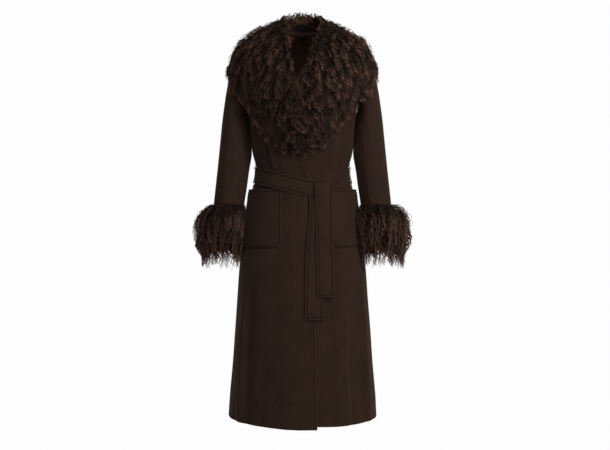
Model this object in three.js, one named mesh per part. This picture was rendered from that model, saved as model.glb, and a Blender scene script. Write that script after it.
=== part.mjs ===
import * as THREE from 'three';

// A long belted coat in double-faced wool with a curly lambskin shawl collar and cuffs.
// Millimetres. +Z is up, the front faces -Y and the wearer's left arm is at +X. The origin is
// at the centre of the back neck seam, where the coat is carried. The coat keeps the hollow
// form that it has when it is worn, and every piece of cloth is a thin wall.

const CLOTH = 2.5; // thickness of the wool
const UNDERARM_EASE = 1.6; // the under sleeve stands this far off the bend under the arm
const SEAM = 0.3; // space between two pieces that are sewn together
const LAYER = 3.3; // from the middle of one layer of cloth to the middle of the next
const HEM_Z = -1200; // finished length of the back
const UNDERARM_Z = -245;
const SHOULDER_Y = 8; // the shoulder seam lies this far behind the side seams
const NECK_POINT = { x: 72, z: -4 }; // where the shoulder seam meets the neck
const SHOULDER_TIP = { x: 178, z: -62 };
const ARMHOLE = { x: 168, front: 60, back: 64, scoop: 17 };
const BACK_NECK_Y = 62;

const WRAP = { lift: 3.7, from: 74, to: 46 }; // the top front rises over the under front
const UNDER_HEM_RISE = 10; // the under front is this much shorter at its edge

const BELT = { width: 50, sideZ: -457, frontZ: -511, out: 7.2, knotX: 45 };
const KNOT = { left: 35, right: 81, top: -490, bottom: -529, out: 12.2, thick: 6 };
const TAIL_WIDTH = 52;
const FRONT_TAIL = { top: -477, bottom: -822, topX: 59, bottomX: 65 };
const REAR_TAIL = { top: -538.5, bottom: -888, topX: 47, bottomX: 34, out: 6.9 };
const BELT_LOOP = { width: 9, top: -412, bottom: -502, out: 10.9, thick: 2 };
const POCKET = { inner: 64, top: -505, bottom: -676, corner: 22, outerAngle: 83 };
const HANGER = { halfWidth: 18, z: -3, drop: 5, height: 4, thick: 1.6, off: 3.4 };

const FRONT_COLUMNS = 14;
const NECK_COLUMNS = 4;
const ARMHOLE_ROWS = 10;
const SLEEVE_SEAM_COLUMN = 3;
const COLLAR_COLUMNS = 40;
const COLLAR_ROWS = 8;
const CUFF_COLUMNS = 30;

// Level sections of the body: half width, depth in front and behind, and how square it is.
const BODY = [
  { z: -1200, width: 228, front: 178, back: 165, power: 1.9 },
  { z: -1135, width: 224, front: 172, back: 160, power: 1.92 },
  { z: -1036, width: 215, front: 163, back: 153, power: 1.95 },
  { z: -937, width: 208, front: 155, back: 147, power: 2 },
  { z: -837, width: 201, front: 147, back: 141, power: 2.05 },
  { z: -738, width: 194, front: 139, back: 136, power: 2.1 },
  { z: -676, width: 186, front: 134, back: 131, power: 2.1 },
  { z: -600, width: 178, front: 128, back: 126, power: 2.1 },
  { z: -540, width: 167, front: 121, back: 118, power: 2.1 },
  { z: -510, width: 159, front: 117, back: 113, power: 2.1 },
  { z: -482, width: 147, front: 112, back: 107, power: 2.1 },
  { z: -457, width: 141, front: 109, back: 104, power: 2.1 },
  { z: -432, width: 142, front: 109, back: 103, power: 2.1 },
  { z: -391, width: 153, front: 112, back: 105, power: 2.15 },
  { z: -345, width: 159, front: 116, back: 108, power: 2.2 },
  { z: -295, width: 163, front: 118, back: 110, power: 2.2 },
  { z: -245, width: 168, front: 120, back: 112, power: 2.2 },
];

// The free edge of each front, as x on the front's own side of the centre.
const TOP_EDGE = [
  { z: -1200, x: -43 },
  { z: -891, x: -39 },
  { z: -560, x: -25 },
  { z: -472, x: -17 },
  { z: -389, x: 9 },
  { z: -330, x: 13 },
  { z: -245, x: 15 },
];
const UNDER_EDGE = [
  { z: -1200, x: -30 },
  { z: -891, x: -34 },
  { z: -472, x: -45 },
  { z: -389, x: -40 },
  { z: -300, x: -25 },
  { z: -245, x: -12 },
];

// From the underarm level up to the neck point: the two necklines and the centre back.
const TOP_NECKLINE = [
  { x: 15, y: -118, z: -200 },
  { x: 36, y: -103, z: -125 },
  { x: 60, y: -56, z: -50 },
];
const UNDER_NECKLINE = [
  { x: 0, y: -118, z: -200 },
  { x: 26, y: -103, z: -125 },
  { x: 57, y: -56, z: -50 },
];
const CENTRE_BACK = [
  { x: 0, y: 111, z: -180 },
  { x: 0, y: 104, z: -110 },
  { x: 0, y: 88, z: -50 },
];

// Soft folds that hang in the cloth. Angle in degrees from the centre front, side +1 is left.
const FOLDS = [
  { side: -1, angle: 43, width: 7, out: -5, top: -300, bottom: -452 },
  { side: 1, angle: 40, width: 6, out: 4, top: -360, bottom: -452 },
  { side: 1, angle: 54, width: 6, out: -4, top: -350, bottom: -452 },
  { side: -1, angle: 60, width: 9, out: 6, top: -700, bottom: -1230 },
  { side: -1, angle: 76, width: 8, out: -5, top: -720, bottom: -1230 },
  { side: 1, angle: 36, width: 10, out: 5, top: -700, bottom: -1230 },
  { side: 1, angle: 55, width: 9, out: -6, top: -720, bottom: -1230 },
  { side: 1, angle: 74, width: 9, out: 4, top: -760, bottom: -1230 },
  { side: -1, angle: 112, width: 10, out: 6, top: -640, bottom: -1230 },
  { side: -1, angle: 133, width: 10, out: -7, top: -600, bottom: -1230 },
  { side: -1, angle: 155, width: 11, out: 6, top: -560, bottom: -1230 },
  { side: 1, angle: 108, width: 10, out: 5, top: -660, bottom: -1230 },
  { side: 1, angle: 128, width: 10, out: -6, top: -600, bottom: -1230 },
  { side: 1, angle: 150, width: 11, out: 7, top: -580, bottom: -1230 },
];

// Rings of the sleeve: its inner and its outer line seen from the front, the place of its
// middle from front to back, and half its depth. They fan out round the underarm.
const SLEEVE = [
  { innerX: 168, innerZ: -245, outerX: 178, outerZ: -62, y: 4, depth: 62 },
  { innerX: 172.5, innerZ: -242, outerX: 191, outerZ: -77, y: 3, depth: 61 },
  { innerX: 176.5, innerZ: -245, outerX: 203, outerZ: -98, y: 2, depth: 60 },
  { innerX: 178.6, innerZ: -250.5, outerX: 215, outerZ: -126, y: 1, depth: 60 },
  { innerX: 178.6, innerZ: -258, outerX: 226, outerZ: -162, y: 0, depth: 60 },
  { innerX: 176.5, innerZ: -267, outerX: 234.5, outerZ: -202, y: 0, depth: 60 },
  { innerX: 172.5, innerZ: -279, outerX: 241, outerZ: -246, y: 0, depth: 60 },
  { innerX: 167.8, innerZ: -300, outerX: 247, outerZ: -292, y: -1, depth: 60 },
  { innerX: 163.2, innerZ: -345, outerX: 252, outerZ: -345, y: -3, depth: 59 },
  { innerX: 161, innerZ: -392, outerX: 256.5, outerZ: -392, y: -5, depth: 58.5 },
  { innerX: 165.5, innerZ: -440, outerX: 261, outerZ: -440, y: -8, depth: 58 },
  { innerX: 172, innerZ: -490, outerX: 266, outerZ: -490, y: -12, depth: 57 },
  { innerX: 180, innerZ: -545, outerX: 271.5, outerZ: -545, y: -16, depth: 55.5 },
  { innerX: 187, innerZ: -612, outerX: 278, outerZ: -612, y: -21, depth: 54 },
  { innerX: 194, innerZ: -680, outerX: 284, outerZ: -680, y: -26, depth: 52 },
];
const ARMHOLE_EASE = [0, 0.45, 0.8, 1]; // how far each ring has left the armhole's own line

// Level sections of the form that the collar lies on: body and sleeve heads together.
const COLLAR_BED = [
  { z: 8, width: 69, front: 30, back: 62.5, power: 2 },
  { z: -4, width: 78, front: 37, back: 68, power: 2 },
  { z: -20, width: 108, front: 52, back: 78, power: 1.8 },
  { z: -40, width: 146, front: 68, back: 88, power: 1.7 },
  { z: -62, width: 184, front: 84, back: 97, power: 1.75 },
  { z: -98, width: 211, front: 103, back: 107, power: 2 },
  { z: -126, width: 223, front: 114, back: 112, power: 2.1 },
  { z: -160, width: 232, front: 121, back: 116, power: 2.15 },
  { z: -209, width: 238, front: 126, back: 118, power: 2.15 },
  { z: -245, width: 224, front: 128, back: 119, power: 2.15 },
  { z: -277, width: 198, front: 128, back: 119, power: 2.15 },
  { z: -316, width: 181, front: 126, back: 118, power: 2.15 },
  { z: -350, width: 175, front: 123.5, back: 116, power: 2.15 },
  { z: -391, width: 171, front: 119.5, back: 113, power: 2.15 },
  { z: -416, width: 169, front: 117.5, back: 111, power: 2.15 },
];

// The shawl collar from the centre back (along 0) to its lower end in front (along 1).
// Angles in degrees from the centre front on the collar's own side, pile in mm. Lean turns
// the pile at the neck edge towards the neck.
const COLLAR = [
  { along: 0, right: 180, left: 180, innerZ: 2, outer: 180, outerZ: -156, pile: 56, lean: 1 },
  { along: 0.12, right: 150, left: 150, innerZ: 2, outer: 153, outerZ: -162, pile: 56, lean: 1 },
  { along: 0.24, right: 118, left: 118, innerZ: 1, outer: 124, outerZ: -164, pile: 53, lean: 1 },
  { along: 0.34, right: 92, left: 92, innerZ: -1, outer: 99, outerZ: -156, pile: 46, lean: 1 },
  { along: 0.44, right: 58, left: 58, innerZ: -18, outer: 82, outerZ: -150, pile: 39, lean: 0.9 },
  { along: 0.52, right: 33, left: 31, innerZ: -46, outer: 67, outerZ: -174, pile: 36, lean: 0.8 },
  { along: 0.6, right: 19, left: 15, innerZ: -88, outer: 58, outerZ: -212, pile: 37, lean: 0.6 },
  { along: 0.68, right: 10, left: 5, innerZ: -130, outer: 55, outerZ: -260, pile: 38, lean: 0.4 },
  { along: 0.76, right: 4.6, left: -2.2, innerZ: -182, outer: 49, outerZ: -302, pile: 38, lean: 0 },
  { along: 0.84, right: 4, left: -3, innerZ: -244, outer: 40, outerZ: -342, pile: 36, lean: 0 },
  { along: 0.92, right: 4, left: -3, innerZ: -312, outer: 29, outerZ: -376, pile: 33, lean: 0 },
  { along: 1, right: 3.4, left: -2.4, innerZ: -384, outer: 10, outerZ: -407, pile: 26, lean: 0 },
];
const COLLAR_EDGE_PILE = 0.1; // share of the pile that is left at the outer edge
const COLLAR_TUFT = 3.5; // the outer edge runs in and out by this much

// Level sections of the curly cuff: how far it reaches outwards, towards the body, and fore
// and aft of the sleeve's middle.
const CUFF = [
  { z: -546, outer: 279, inner: 176, depth: 60 },
  { z: -554, outer: 299, inner: 168, depth: 72 },
  { z: -575, outer: 320, inner: 164, depth: 84 },
  { z: -602, outer: 333, inner: 163, depth: 91 },
  { z: -634, outer: 338, inner: 165, depth: 93 },
  { z: -666, outer: 335, inner: 170, depth: 90 },
  { z: -694, outer: 322, inner: 180, depth: 82 },
  { z: -718, outer: 303, inner: 190, depth: 70 },
  { z: -732, outer: 291, inner: 198, depth: 62 },
];
const CUFF_TUFT = 4;
const CUFF_CLEARANCE = 3.5; // between the cuff and the body or pocket beside it

const WOOL = new THREE.MeshStandardMaterial({ color: 0x33251e, roughness: 0.95, metalness: 0 });
const CURLS = new THREE.MeshStandardMaterial({ color: 0x3a2a22, roughness: 0.85, metalness: 0 });

const radians = THREE.MathUtils.degToRad;
const mix = THREE.MathUtils.lerp;
const signedPower = (value, power) => Math.sign(value) * Math.abs(value) ** power;
const ease = (value) => THREE.MathUtils.smoothstep(value, 0, 1);

// A value between the rows of a table, on a smooth curve through all of them.
function along(table, key, at, column) {
  const rising = table[1][key] > table[0][key];
  const before = (row) => (rising ? row[key] <= at : row[key] >= at);
  let i = table.findLastIndex(before);
  i = Math.min(Math.max(i, 0), table.length - 2);
  const slope = (k) => {
    const low = table[Math.max(k - 1, 0)];
    const high = table[Math.min(k + 1, table.length - 1)];
    return (high[column] - low[column]) / (high[key] - low[key]);
  };
  const span = table[i + 1][key] - table[i][key];
  const t = THREE.MathUtils.clamp((at - table[i][key]) / span, 0, 1);
  const start = table[i][column];
  const end = table[i + 1][column];
  const cubic = (start - end) * 2 + (slope(i) + slope(i + 1)) * span;
  const square = (end - start) * 3 - (2 * slope(i) + slope(i + 1)) * span;
  return ((cubic * t + square) * t + slope(i) * span) * t + start;
}

// A point of a form given by level sections. The angle runs from 0 at the centre front
// through 90 degrees at the side to 180 at the centre back.
function sectionPoint(table, angle, z) {
  const round = 2 / along(table, 'z', z, 'power');
  const depth = along(table, 'z', z, Math.cos(angle) >= 0 ? 'front' : 'back');
  const x = along(table, 'z', z, 'width') * signedPower(Math.sin(angle), round);
  return new THREE.Vector3(x, -depth * signedPower(Math.cos(angle), round), z);
}

function sectionNormal(table, angle, z) {
  const turn = radians(1.5);
  const round = sectionPoint(table, angle + turn, z).sub(sectionPoint(table, angle - turn, z));
  const up = sectionPoint(table, angle, z + 3).sub(sectionPoint(table, angle, z - 3));
  return round.cross(up).normalize();
}

function angleAt(table, x, z) {
  const share = x / along(table, 'z', z, 'width');
  return Math.asin(signedPower(share, along(table, 'z', z, 'power') / 2));
}

// How far the hanging folds move the cloth out at an angle and a height on one side.
function foldRelief(side, angle, z) {
  let out = 0;
  for (const fold of FOLDS.filter((row) => row.side === side)) {
    const across = Math.exp(-(((angle - radians(fold.angle)) / radians(fold.width)) ** 2));
    const length = fold.top - fold.bottom;
    const down = ease((fold.top - z) / (length * 0.4)) * ease((z - fold.bottom) / (length * 0.2));
    out += fold.out * across * down;
  }
  return out;
}

// The point of the coat's body, moved out from the middle of its cloth.
function bodyPoint(side, angle, z, out = 0) {
  const normal = sectionNormal(BODY, angle, z);
  const point = sectionPoint(BODY, angle, z);
  return point.addScaledVector(normal, out + foldRelief(side, angle, z));
}

// A sheet is a grid of points with a normal at each. Facing +1 keeps the normals that turn
// from the columns' direction to the rows' direction, and -1 turns them round.
function makeSheet(columns, rows, pointAt, facing) {
  const points = [];
  for (let i = 0; i <= columns; i += 1) {
    points.push(Array.from({ length: rows + 1 }, (_, j) => pointAt(i, j)));
  }
  const sheet = { columns, rows, points, facing };
  sheet.normals = points.map((column, i) => column.map((_, j) => gridNormal(sheet, i, j)));
  return sheet;
}

function gridNormal({ columns, rows, points, facing }, i, j) {
  const left = points[Math.max(i - 1, 0)][j];
  const right = points[Math.min(i + 1, columns)][j];
  const low = points[i][Math.max(j - 1, 0)];
  const high = points[i][Math.min(j + 1, rows)];
  const across = right.clone().sub(left);
  return across.cross(high.clone().sub(low)).normalize().multiplyScalar(facing);
}

// Neighbours that are sewn together share the direction of their cut edges.
function shareNormals(...places) {
  const sum = new THREE.Vector3();
  places.forEach(([sheet, i, j]) => sum.add(sheet.normals[i][j]));
  sum.normalize();
  places.forEach(([sheet, i, j]) => sheet.normals[i][j].copy(sum));
}

// Takes half a seam's space off one edge of a sheet: 'first' or 'last' column, 'low' or 'top'.
function trim(sheet, edge, amount = SEAM / 2) {
  const { columns, rows, points } = sheet;
  const sideways = edge === 'first' || edge === 'last';
  const count = sideways ? rows : columns;
  for (let k = 0; k <= count; k += 1) {
    const [i, j] = {
      first: [0, k],
      last: [columns, k],
      low: [k, 0],
      top: [k, rows],
    }[edge];
    const inward = {
      first: [1, k],
      last: [columns - 1, k],
      low: [k, 1],
      top: [k, rows - 1],
    }[edge];
    const step = points[inward[0]][inward[1]].clone().sub(points[i][j]).setLength(amount);
    points[i][j].add(step);
  }
}

function meshFrom(name, vertices, triangles, material) {
  const geometry = new THREE.BufferGeometry();
  const flat = new Float32Array(vertices.flatMap((v) => [v.x, v.y, v.z]));
  geometry.setAttribute('position', new THREE.BufferAttribute(flat, 3));
  geometry.setIndex(triangles);
  geometry.computeVertexNormals();
  const mesh = new THREE.Mesh(geometry, material);
  mesh.name = name;
  return mesh;
}

// A closed wall between two grids of the same size, joined round their four edges.
function wallBetween(name, outer, inner, facing, material) {
  const columns = outer.length - 1;
  const rows = outer[0].length - 1;
  const count = (columns + 1) * (rows + 1);
  const at = (i, j) => i * (rows + 1) + j;
  const triangles = [];
  const quad = (a, b, c, d) => {
    const corners = facing > 0 ? [a, b, c, a, c, d] : [a, c, b, a, d, c];
    triangles.push(...corners);
  };
  for (let i = 0; i < columns; i += 1) {
    for (let j = 0; j < rows; j += 1) {
      quad(at(i, j), at(i + 1, j), at(i + 1, j + 1), at(i, j + 1));
      quad(count + at(i, j), count + at(i, j + 1), count + at(i + 1, j + 1), count + at(i + 1, j));
    }
    quad(at(i, 0), count + at(i, 0), count + at(i + 1, 0), at(i + 1, 0));
    quad(at(i, rows), at(i + 1, rows), count + at(i + 1, rows), count + at(i, rows));
  }
  for (let j = 0; j < rows; j += 1) {
    quad(at(0, j), at(0, j + 1), count + at(0, j + 1), count + at(0, j));
    quad(at(columns, j), count + at(columns, j), count + at(columns, j + 1), at(columns, j + 1));
  }
  return meshFrom(name, [...outer.flat(), ...inner.flat()], triangles, material);
}

function clothWall(name, sheet, thickness = CLOTH) {
  const moved = (distance) => sheet.points.map((column, i) => {
    const shift = (point, j) => point.clone().addScaledVector(sheet.normals[i][j], distance);
    return column.map(shift);
  });
  return wallBetween(name, moved(thickness / 2), moved(-thickness / 2), sheet.facing, WOOL);
}

const mirrored = (point, side) => point.setX(point.x * side);

// Heights of the rows from the hem to the underarm, closer together at the waist.
const LOWER_ROWS = [
  -1200, -1120, -1030, -930, -835, -745, -676, -615, -560, -510, -475, -440, -400, -350, -298,
  UNDERARM_Z,
];
const BODY_ROWS = LOWER_ROWS.length - 1;
const ALL_ROWS = BODY_ROWS + ARMHOLE_ROWS;

// The armhole seam from the underarm (share 0) to the shoulder tip (share 1).
function armholePoint(share, depth) {
  const turn = Math.PI * share;
  const rise = (1 - Math.cos(turn)) / 2;
  return new THREE.Vector3(
    mix(ARMHOLE.x, SHOULDER_TIP.x, rise) - ARMHOLE.scoop * Math.sin(turn),
    mix(0, SHOULDER_Y, rise) + depth * Math.sin(turn),
    mix(UNDERARM_Z, SHOULDER_TIP.z, rise),
  );
}

function shoulderPoint(share) {
  return new THREE.Vector3(
    mix(NECK_POINT.x, SHOULDER_TIP.x, share),
    SHOULDER_Y,
    mix(NECK_POINT.z, SHOULDER_TIP.z, share),
  );
}

function backNeckPoint(share) {
  const turn = (Math.PI / 2) * share;
  return new THREE.Vector3(
    NECK_POINT.x * Math.sin(turn),
    mix(SHOULDER_Y, BACK_NECK_Y, Math.cos(turn)),
    NECK_POINT.z * (1 - Math.cos(turn)),
  );
}

// The yoke: a patch that joins its four border lines, easing from each to the opposite one.
function patchPoint(u, v, low, top, first, last) {
  const across = ease(u);
  const up = ease(v);
  const point = low(u).multiplyScalar(1 - up).addScaledVector(top(u), up);
  const corners = (a, b) => a.multiplyScalar(1 - up).addScaledVector(b, up);
  const firstError = first(v).sub(corners(low(0), top(0)));
  const lastError = last(v).sub(corners(low(1), top(1)));
  return point.addScaledVector(firstError, 1 - across).addScaledVector(lastError, across);
}

function smoothLine(start, table, end) {
  const middle = table.map(({ x, y, z }) => new THREE.Vector3(x, y, z));
  const curve = new THREE.CatmullRomCurve3([start, ...middle, end], false, 'centripetal');
  return (share) => curve.getPoint(share);
}

// How far the top front rises to lie on the under front, by the distance from the centre.
function wrapLift(x, z) {
  const across = ease((WRAP.from - x) / (WRAP.from - WRAP.to));
  return WRAP.lift * across * ease((-150 - z) / 80);
}

function frontSheet(side) {
  const onTop = side < 0;
  const edge = onTop ? TOP_EDGE : UNDER_EDGE;
  const lower = (u, z) => {
    const start = angleAt(BODY, along(edge, 'z', z, 'x'), z);
    const angle = mix(start, Math.PI / 2, u);
    return bodyPoint(side, angle, z);
  };
  const low = (u) => lower(u, UNDERARM_Z);
  const neckline = smoothLine(low(0), onTop ? TOP_NECKLINE : UNDER_NECKLINE, shoulderPoint(0));
  const armhole = (v) => armholePoint(v, -ARMHOLE.front);
  const pointAt = (i, j) => {
    const u = i / FRONT_COLUMNS;
    const v = (j - BODY_ROWS) / ARMHOLE_ROWS;
    const rise = onTop ? 0 : UNDER_HEM_RISE * (1 - ease(u * 1.6)) * (j === 0 ? 1 : 0);
    const point = j < BODY_ROWS
      ? lower(u, LOWER_ROWS[j] + rise)
      : patchPoint(u, v, low, shoulderPoint, neckline, armhole);
    if (onTop) point.y -= wrapLift(point.x, point.z);
    return mirrored(point, side);
  };
  return makeSheet(FRONT_COLUMNS, ALL_ROWS, pointAt, side);
}

function backSheet(side) {
  const columns = FRONT_COLUMNS + NECK_COLUMNS;
  const lower = (u, z) => bodyPoint(side, mix(Math.PI, Math.PI / 2, u), z);
  const low = (u) => lower(u, UNDERARM_Z);
  const top = (u) => {
    const column = u * columns;
    return column <= NECK_COLUMNS
      ? backNeckPoint(column / NECK_COLUMNS)
      : shoulderPoint((column - NECK_COLUMNS) / FRONT_COLUMNS);
  };
  const centre = smoothLine(low(0), CENTRE_BACK, backNeckPoint(0));
  const armhole = (v) => armholePoint(v, ARMHOLE.back);
  const pointAt = (i, j) => {
    const u = i / columns;
    const v = (j - BODY_ROWS) / ARMHOLE_ROWS;
    const point = j < BODY_ROWS
      ? lower(u, LOWER_ROWS[j])
      : patchPoint(u, v, low, top, centre, armhole);
    if (i === 0) point.x = 0;
    return mirrored(point, side);
  };
  return makeSheet(columns, ALL_ROWS, pointAt, -side);
}

// The whole tube of one sleeve. Column 0 is the underarm, the next run up the front to the
// shoulder and then down the back.
function sleeveTube(side) {
  const around = 2 * ARMHOLE_ROWS;
  const pointAt = (i, j) => {
    const turn = (Math.PI * i) / ARMHOLE_ROWS;
    const row = SLEEVE[j];
    const inner = new THREE.Vector3(row.innerX, row.y, row.innerZ);
    const outer = new THREE.Vector3(row.outerX, row.y, row.outerZ);
    const across = (1 - Math.cos(turn)) / 2;
    const ring = inner.lerp(outer, across);
    ring.y -= row.depth * Math.sin(turn);
    const forward = i <= ARMHOLE_ROWS;
    const share = forward ? i / ARMHOLE_ROWS : 2 - i / ARMHOLE_ROWS;
    const seam = armholePoint(share, forward ? -ARMHOLE.front : ARMHOLE.back);
    const point = seam.lerp(ring, ARMHOLE_EASE[Math.min(j, ARMHOLE_EASE.length - 1)]);
    return mirrored(point, side);
  };
  const sheet = makeSheet(around, SLEEVE.length - 1, pointAt, -side);
  for (let j = 0; j <= sheet.rows; j += 1) {
    shareNormals([sheet, 0, j], [sheet, around, j]);
  }
  return sheet;
}

// Some of a tube's columns, counted on past the last one to the first again.
function columnsOf(sheet, from, to) {
  const wrap = (i) => (i + sheet.columns) % sheet.columns;
  const chosen = Array.from({ length: to - from + 1 }, (_, k) => wrap(from + k));
  const copy = (grid) => chosen.map((i) => grid[i].map((vector) => vector.clone()));
  const { rows, facing } = sheet;
  return { columns: to - from, rows, facing, points: copy(sheet.points), normals: copy(sheet.normals) };
}

function sewHalf(front, back, sleeve) {
  const frontEnd = front.columns;
  const backEnd = back.columns;
  const shoulder = ARMHOLE_ROWS;
  for (let j = 0; j < BODY_ROWS; j += 1) {
    shareNormals([front, frontEnd, j], [back, backEnd, j]);
  }
  for (let i = 0; i < frontEnd; i += 1) {
    shareNormals([front, i, ALL_ROWS], [back, i + NECK_COLUMNS, ALL_ROWS]);
  }
  const around = sleeve.columns;
  shareNormals([front, frontEnd, BODY_ROWS], [back, backEnd, BODY_ROWS], [sleeve, 0, 0]);
  sleeve.normals[around][0].copy(sleeve.normals[0][0]);
  shareNormals([front, frontEnd, ALL_ROWS], [back, backEnd, ALL_ROWS], [sleeve, shoulder, 0]);
  for (let k = 1; k < ARMHOLE_ROWS; k += 1) {
    shareNormals([front, frontEnd, BODY_ROWS + k], [sleeve, k, 0]);
    shareNormals([back, backEnd, BODY_ROWS + k], [sleeve, around - k, 0]);
  }
}

function coatHalf(side, word) {
  const front = frontSheet(side);
  const back = backSheet(side);
  const sleeve = sleeveTube(side);
  sewHalf(front, back, sleeve);
  const split = SLEEVE_SEAM_COLUMN;
  const topSleeve = columnsOf(sleeve, split, sleeve.columns - split);
  const underSleeve = columnsOf(sleeve, -split, split);
  back.normals[0].forEach((normal) => normal.setX(0).normalize());
  trim(front, 'last');
  trim(front, 'top');
  trim(back, 'first');
  trim(back, 'last');
  trim(back, 'top');
  for (const piece of [topSleeve, underSleeve]) {
    trim(piece, 'low', piece === underSleeve ? UNDERARM_EASE : SEAM / 2);
    trim(piece, 'first');
    trim(piece, 'last');
  }
  return [
    clothWall(`front_${word}`, front),
    clothWall(`back_${word}`, back),
    clothWall(`sleeve_top_${word}`, topSleeve),
    clothWall(`sleeve_under_${word}`, underSleeve),
  ];
}

// A patch pocket: it lies one layer out on the front, with one rounded lower corner.
function pocket(side, word) {
  const columns = 11;
  const rows = 9;
  const pointAt = (i, j) => {
    const z = mix(POCKET.bottom, POCKET.top, (j / rows) ** 1.3);
    const above = Math.min(z - POCKET.bottom, POCKET.corner);
    const cut = POCKET.corner - Math.sqrt(POCKET.corner ** 2 - (POCKET.corner - above) ** 2);
    const start = angleAt(BODY, POCKET.inner + cut, z);
    const angle = mix(start, radians(POCKET.outerAngle), i / columns);
    const point = bodyPoint(side, angle, z, LAYER);
    if (side < 0) point.y -= wrapLift(point.x, z);
    return mirrored(point, side);
  };
  return clothWall(`pocket_${word}`, makeSheet(columns, rows, pointAt, side));
}

// A strip that lies on the body from one angle to another. Its middle height, its width and
// its distance out are functions of the share of its length.
function strip(name, columns, rows, place, thickness = CLOTH) {
  const pointAt = (i, j) => {
    const { angle, z, width, out } = place(i / columns);
    const height = z + width * (j / rows - 0.5);
    const side = Math.sign(angle) || 1;
    return mirrored(bodyPoint(side, Math.abs(angle), height, out), side);
  };
  return clothWall(name, makeSheet(columns, rows, pointAt, 1), thickness);
}

function belt() {
  const { width, sideZ, frontZ, out, knotX } = BELT;
  const knotAngle = angleAt(BODY, knotX, frontZ);
  const quarter = Math.PI / 2;
  const gap = SEAM / 2 / 141;
  const round = strip('belt_back', 26, 2, (share) => ({
    angle: mix(quarter + gap, 3 * quarter - gap, share), z: sideZ, width, out,
  }));
  const right = strip('belt_right', 20, 2, (share) => {
    const angle = mix(-quarter + gap, knotAngle - gap, share);
    const x = 141 * Math.sin(angle);
    return { angle, z: mix(sideZ, frontZ, (x + 141) / (knotX + 141)), width, out };
  });
  const left = strip('belt_left', 10, 2, (share) => ({
    angle: mix(knotAngle + gap, quarter - gap, share),
    z: mix(frontZ + 6, sideZ, ease(share)),
    width: mix(width * 0.42, width, ease(share * 1.1)),
    out,
  }));
  return [round, right, left];
}

// A strap that hangs down the front: its middle, its distance out and its half width.
function strap(name, rows, place, width) {
  const columns = 3;
  const pointAt = (i, j) => {
    const { x, z, out } = place(1 - j / rows);
    const own = x + width * (i / columns - 0.5);
    const side = Math.sign(own) || 1;
    return mirrored(bodyPoint(side, angleAt(BODY, Math.abs(own), z), z, out), side);
  };
  return makeStrap(name, columns, rows, pointAt);
}

function makeStrap(name, columns, rows, pointAt) {
  return clothWall(name, makeSheet(columns, rows, pointAt, 1));
}

function knotAndTails() {
  const beltEdge = CLOTH / 2;
  const overKnot = KNOT.out + KNOT.thick / 2 + beltEdge + 1;
  const frontOut = REAR_TAIL.out + LAYER;
  const frontTail = strap('belt_tail_front', 18, (share) => {
    const down = share ** 1.5;
    const z = mix(FRONT_TAIL.top, FRONT_TAIL.bottom, down);
    const curl = ease((FRONT_TAIL.top - z) / 7);
    const settle = ease((KNOT.bottom + 4 - z) / 55);
    return {
      x: mix(FRONT_TAIL.topX, FRONT_TAIL.bottomX, down),
      z,
      out: mix(mix(BELT.out, overKnot, curl), frontOut, settle),
    };
  }, TAIL_WIDTH);
  const rearTail = strap('belt_tail_rear', 12, (share) => ({
    x: mix(REAR_TAIL.topX, REAR_TAIL.bottomX, ease(share * 1.6)),
    z: mix(REAR_TAIL.top, REAR_TAIL.bottom, share),
    out: REAR_TAIL.out,
  }), TAIL_WIDTH);
  const knotAt = (i, j) => {
    const z = mix(KNOT.bottom, KNOT.top, j / 3);
    const x = mix(KNOT.left, KNOT.right, i / 4);
    return bodyPoint(1, angleAt(BODY, x, z), z, KNOT.out);
  };
  const knot = clothWall('belt_knot', makeSheet(4, 3, knotAt, 1), KNOT.thick);
  return [knot, frontTail, rearTail];
}

// A narrow loop over the belt at the side seam.
function beltLoop(side, word) {
  const rows = 8;
  const { width, top, bottom, out, thick } = BELT_LOOP;
  const pointAt = (i, j) => {
    const z = mix(bottom, top, j / rows);
    const sewn = j === 0 || j === rows;
    const angle = Math.PI / 2 + (i - 0.5) * (width / 141);
    const distance = sewn ? CLOTH / 2 + thick / 2 + SEAM * 3 : out;
    return mirrored(bodyPoint(side, angle, z, distance), side);
  };
  return clothWall(`belt_loop_${word}`, makeSheet(1, rows, pointAt, side), thick);
}

// The loop that hangs the coat on a peg, inside the back neck.
function hangerLoop() {
  const columns = 10;
  const pointAt = (i, j) => {
    const share = i / columns;
    const bow = Math.sin(Math.PI * share);
    const x = mix(-HANGER.halfWidth, HANGER.halfWidth, share);
    const y = BACK_NECK_Y - CLOTH / 2 - mix(1.2, HANGER.off, bow) - (x / 22) ** 2 * 1.6;
    return new THREE.Vector3(x, y, HANGER.z - HANGER.drop * bow - HANGER.height * (1 - j));
  };
  return clothWall('hanger_loop', makeSheet(columns, 1, pointAt, 1), HANGER.thick);
}

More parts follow.
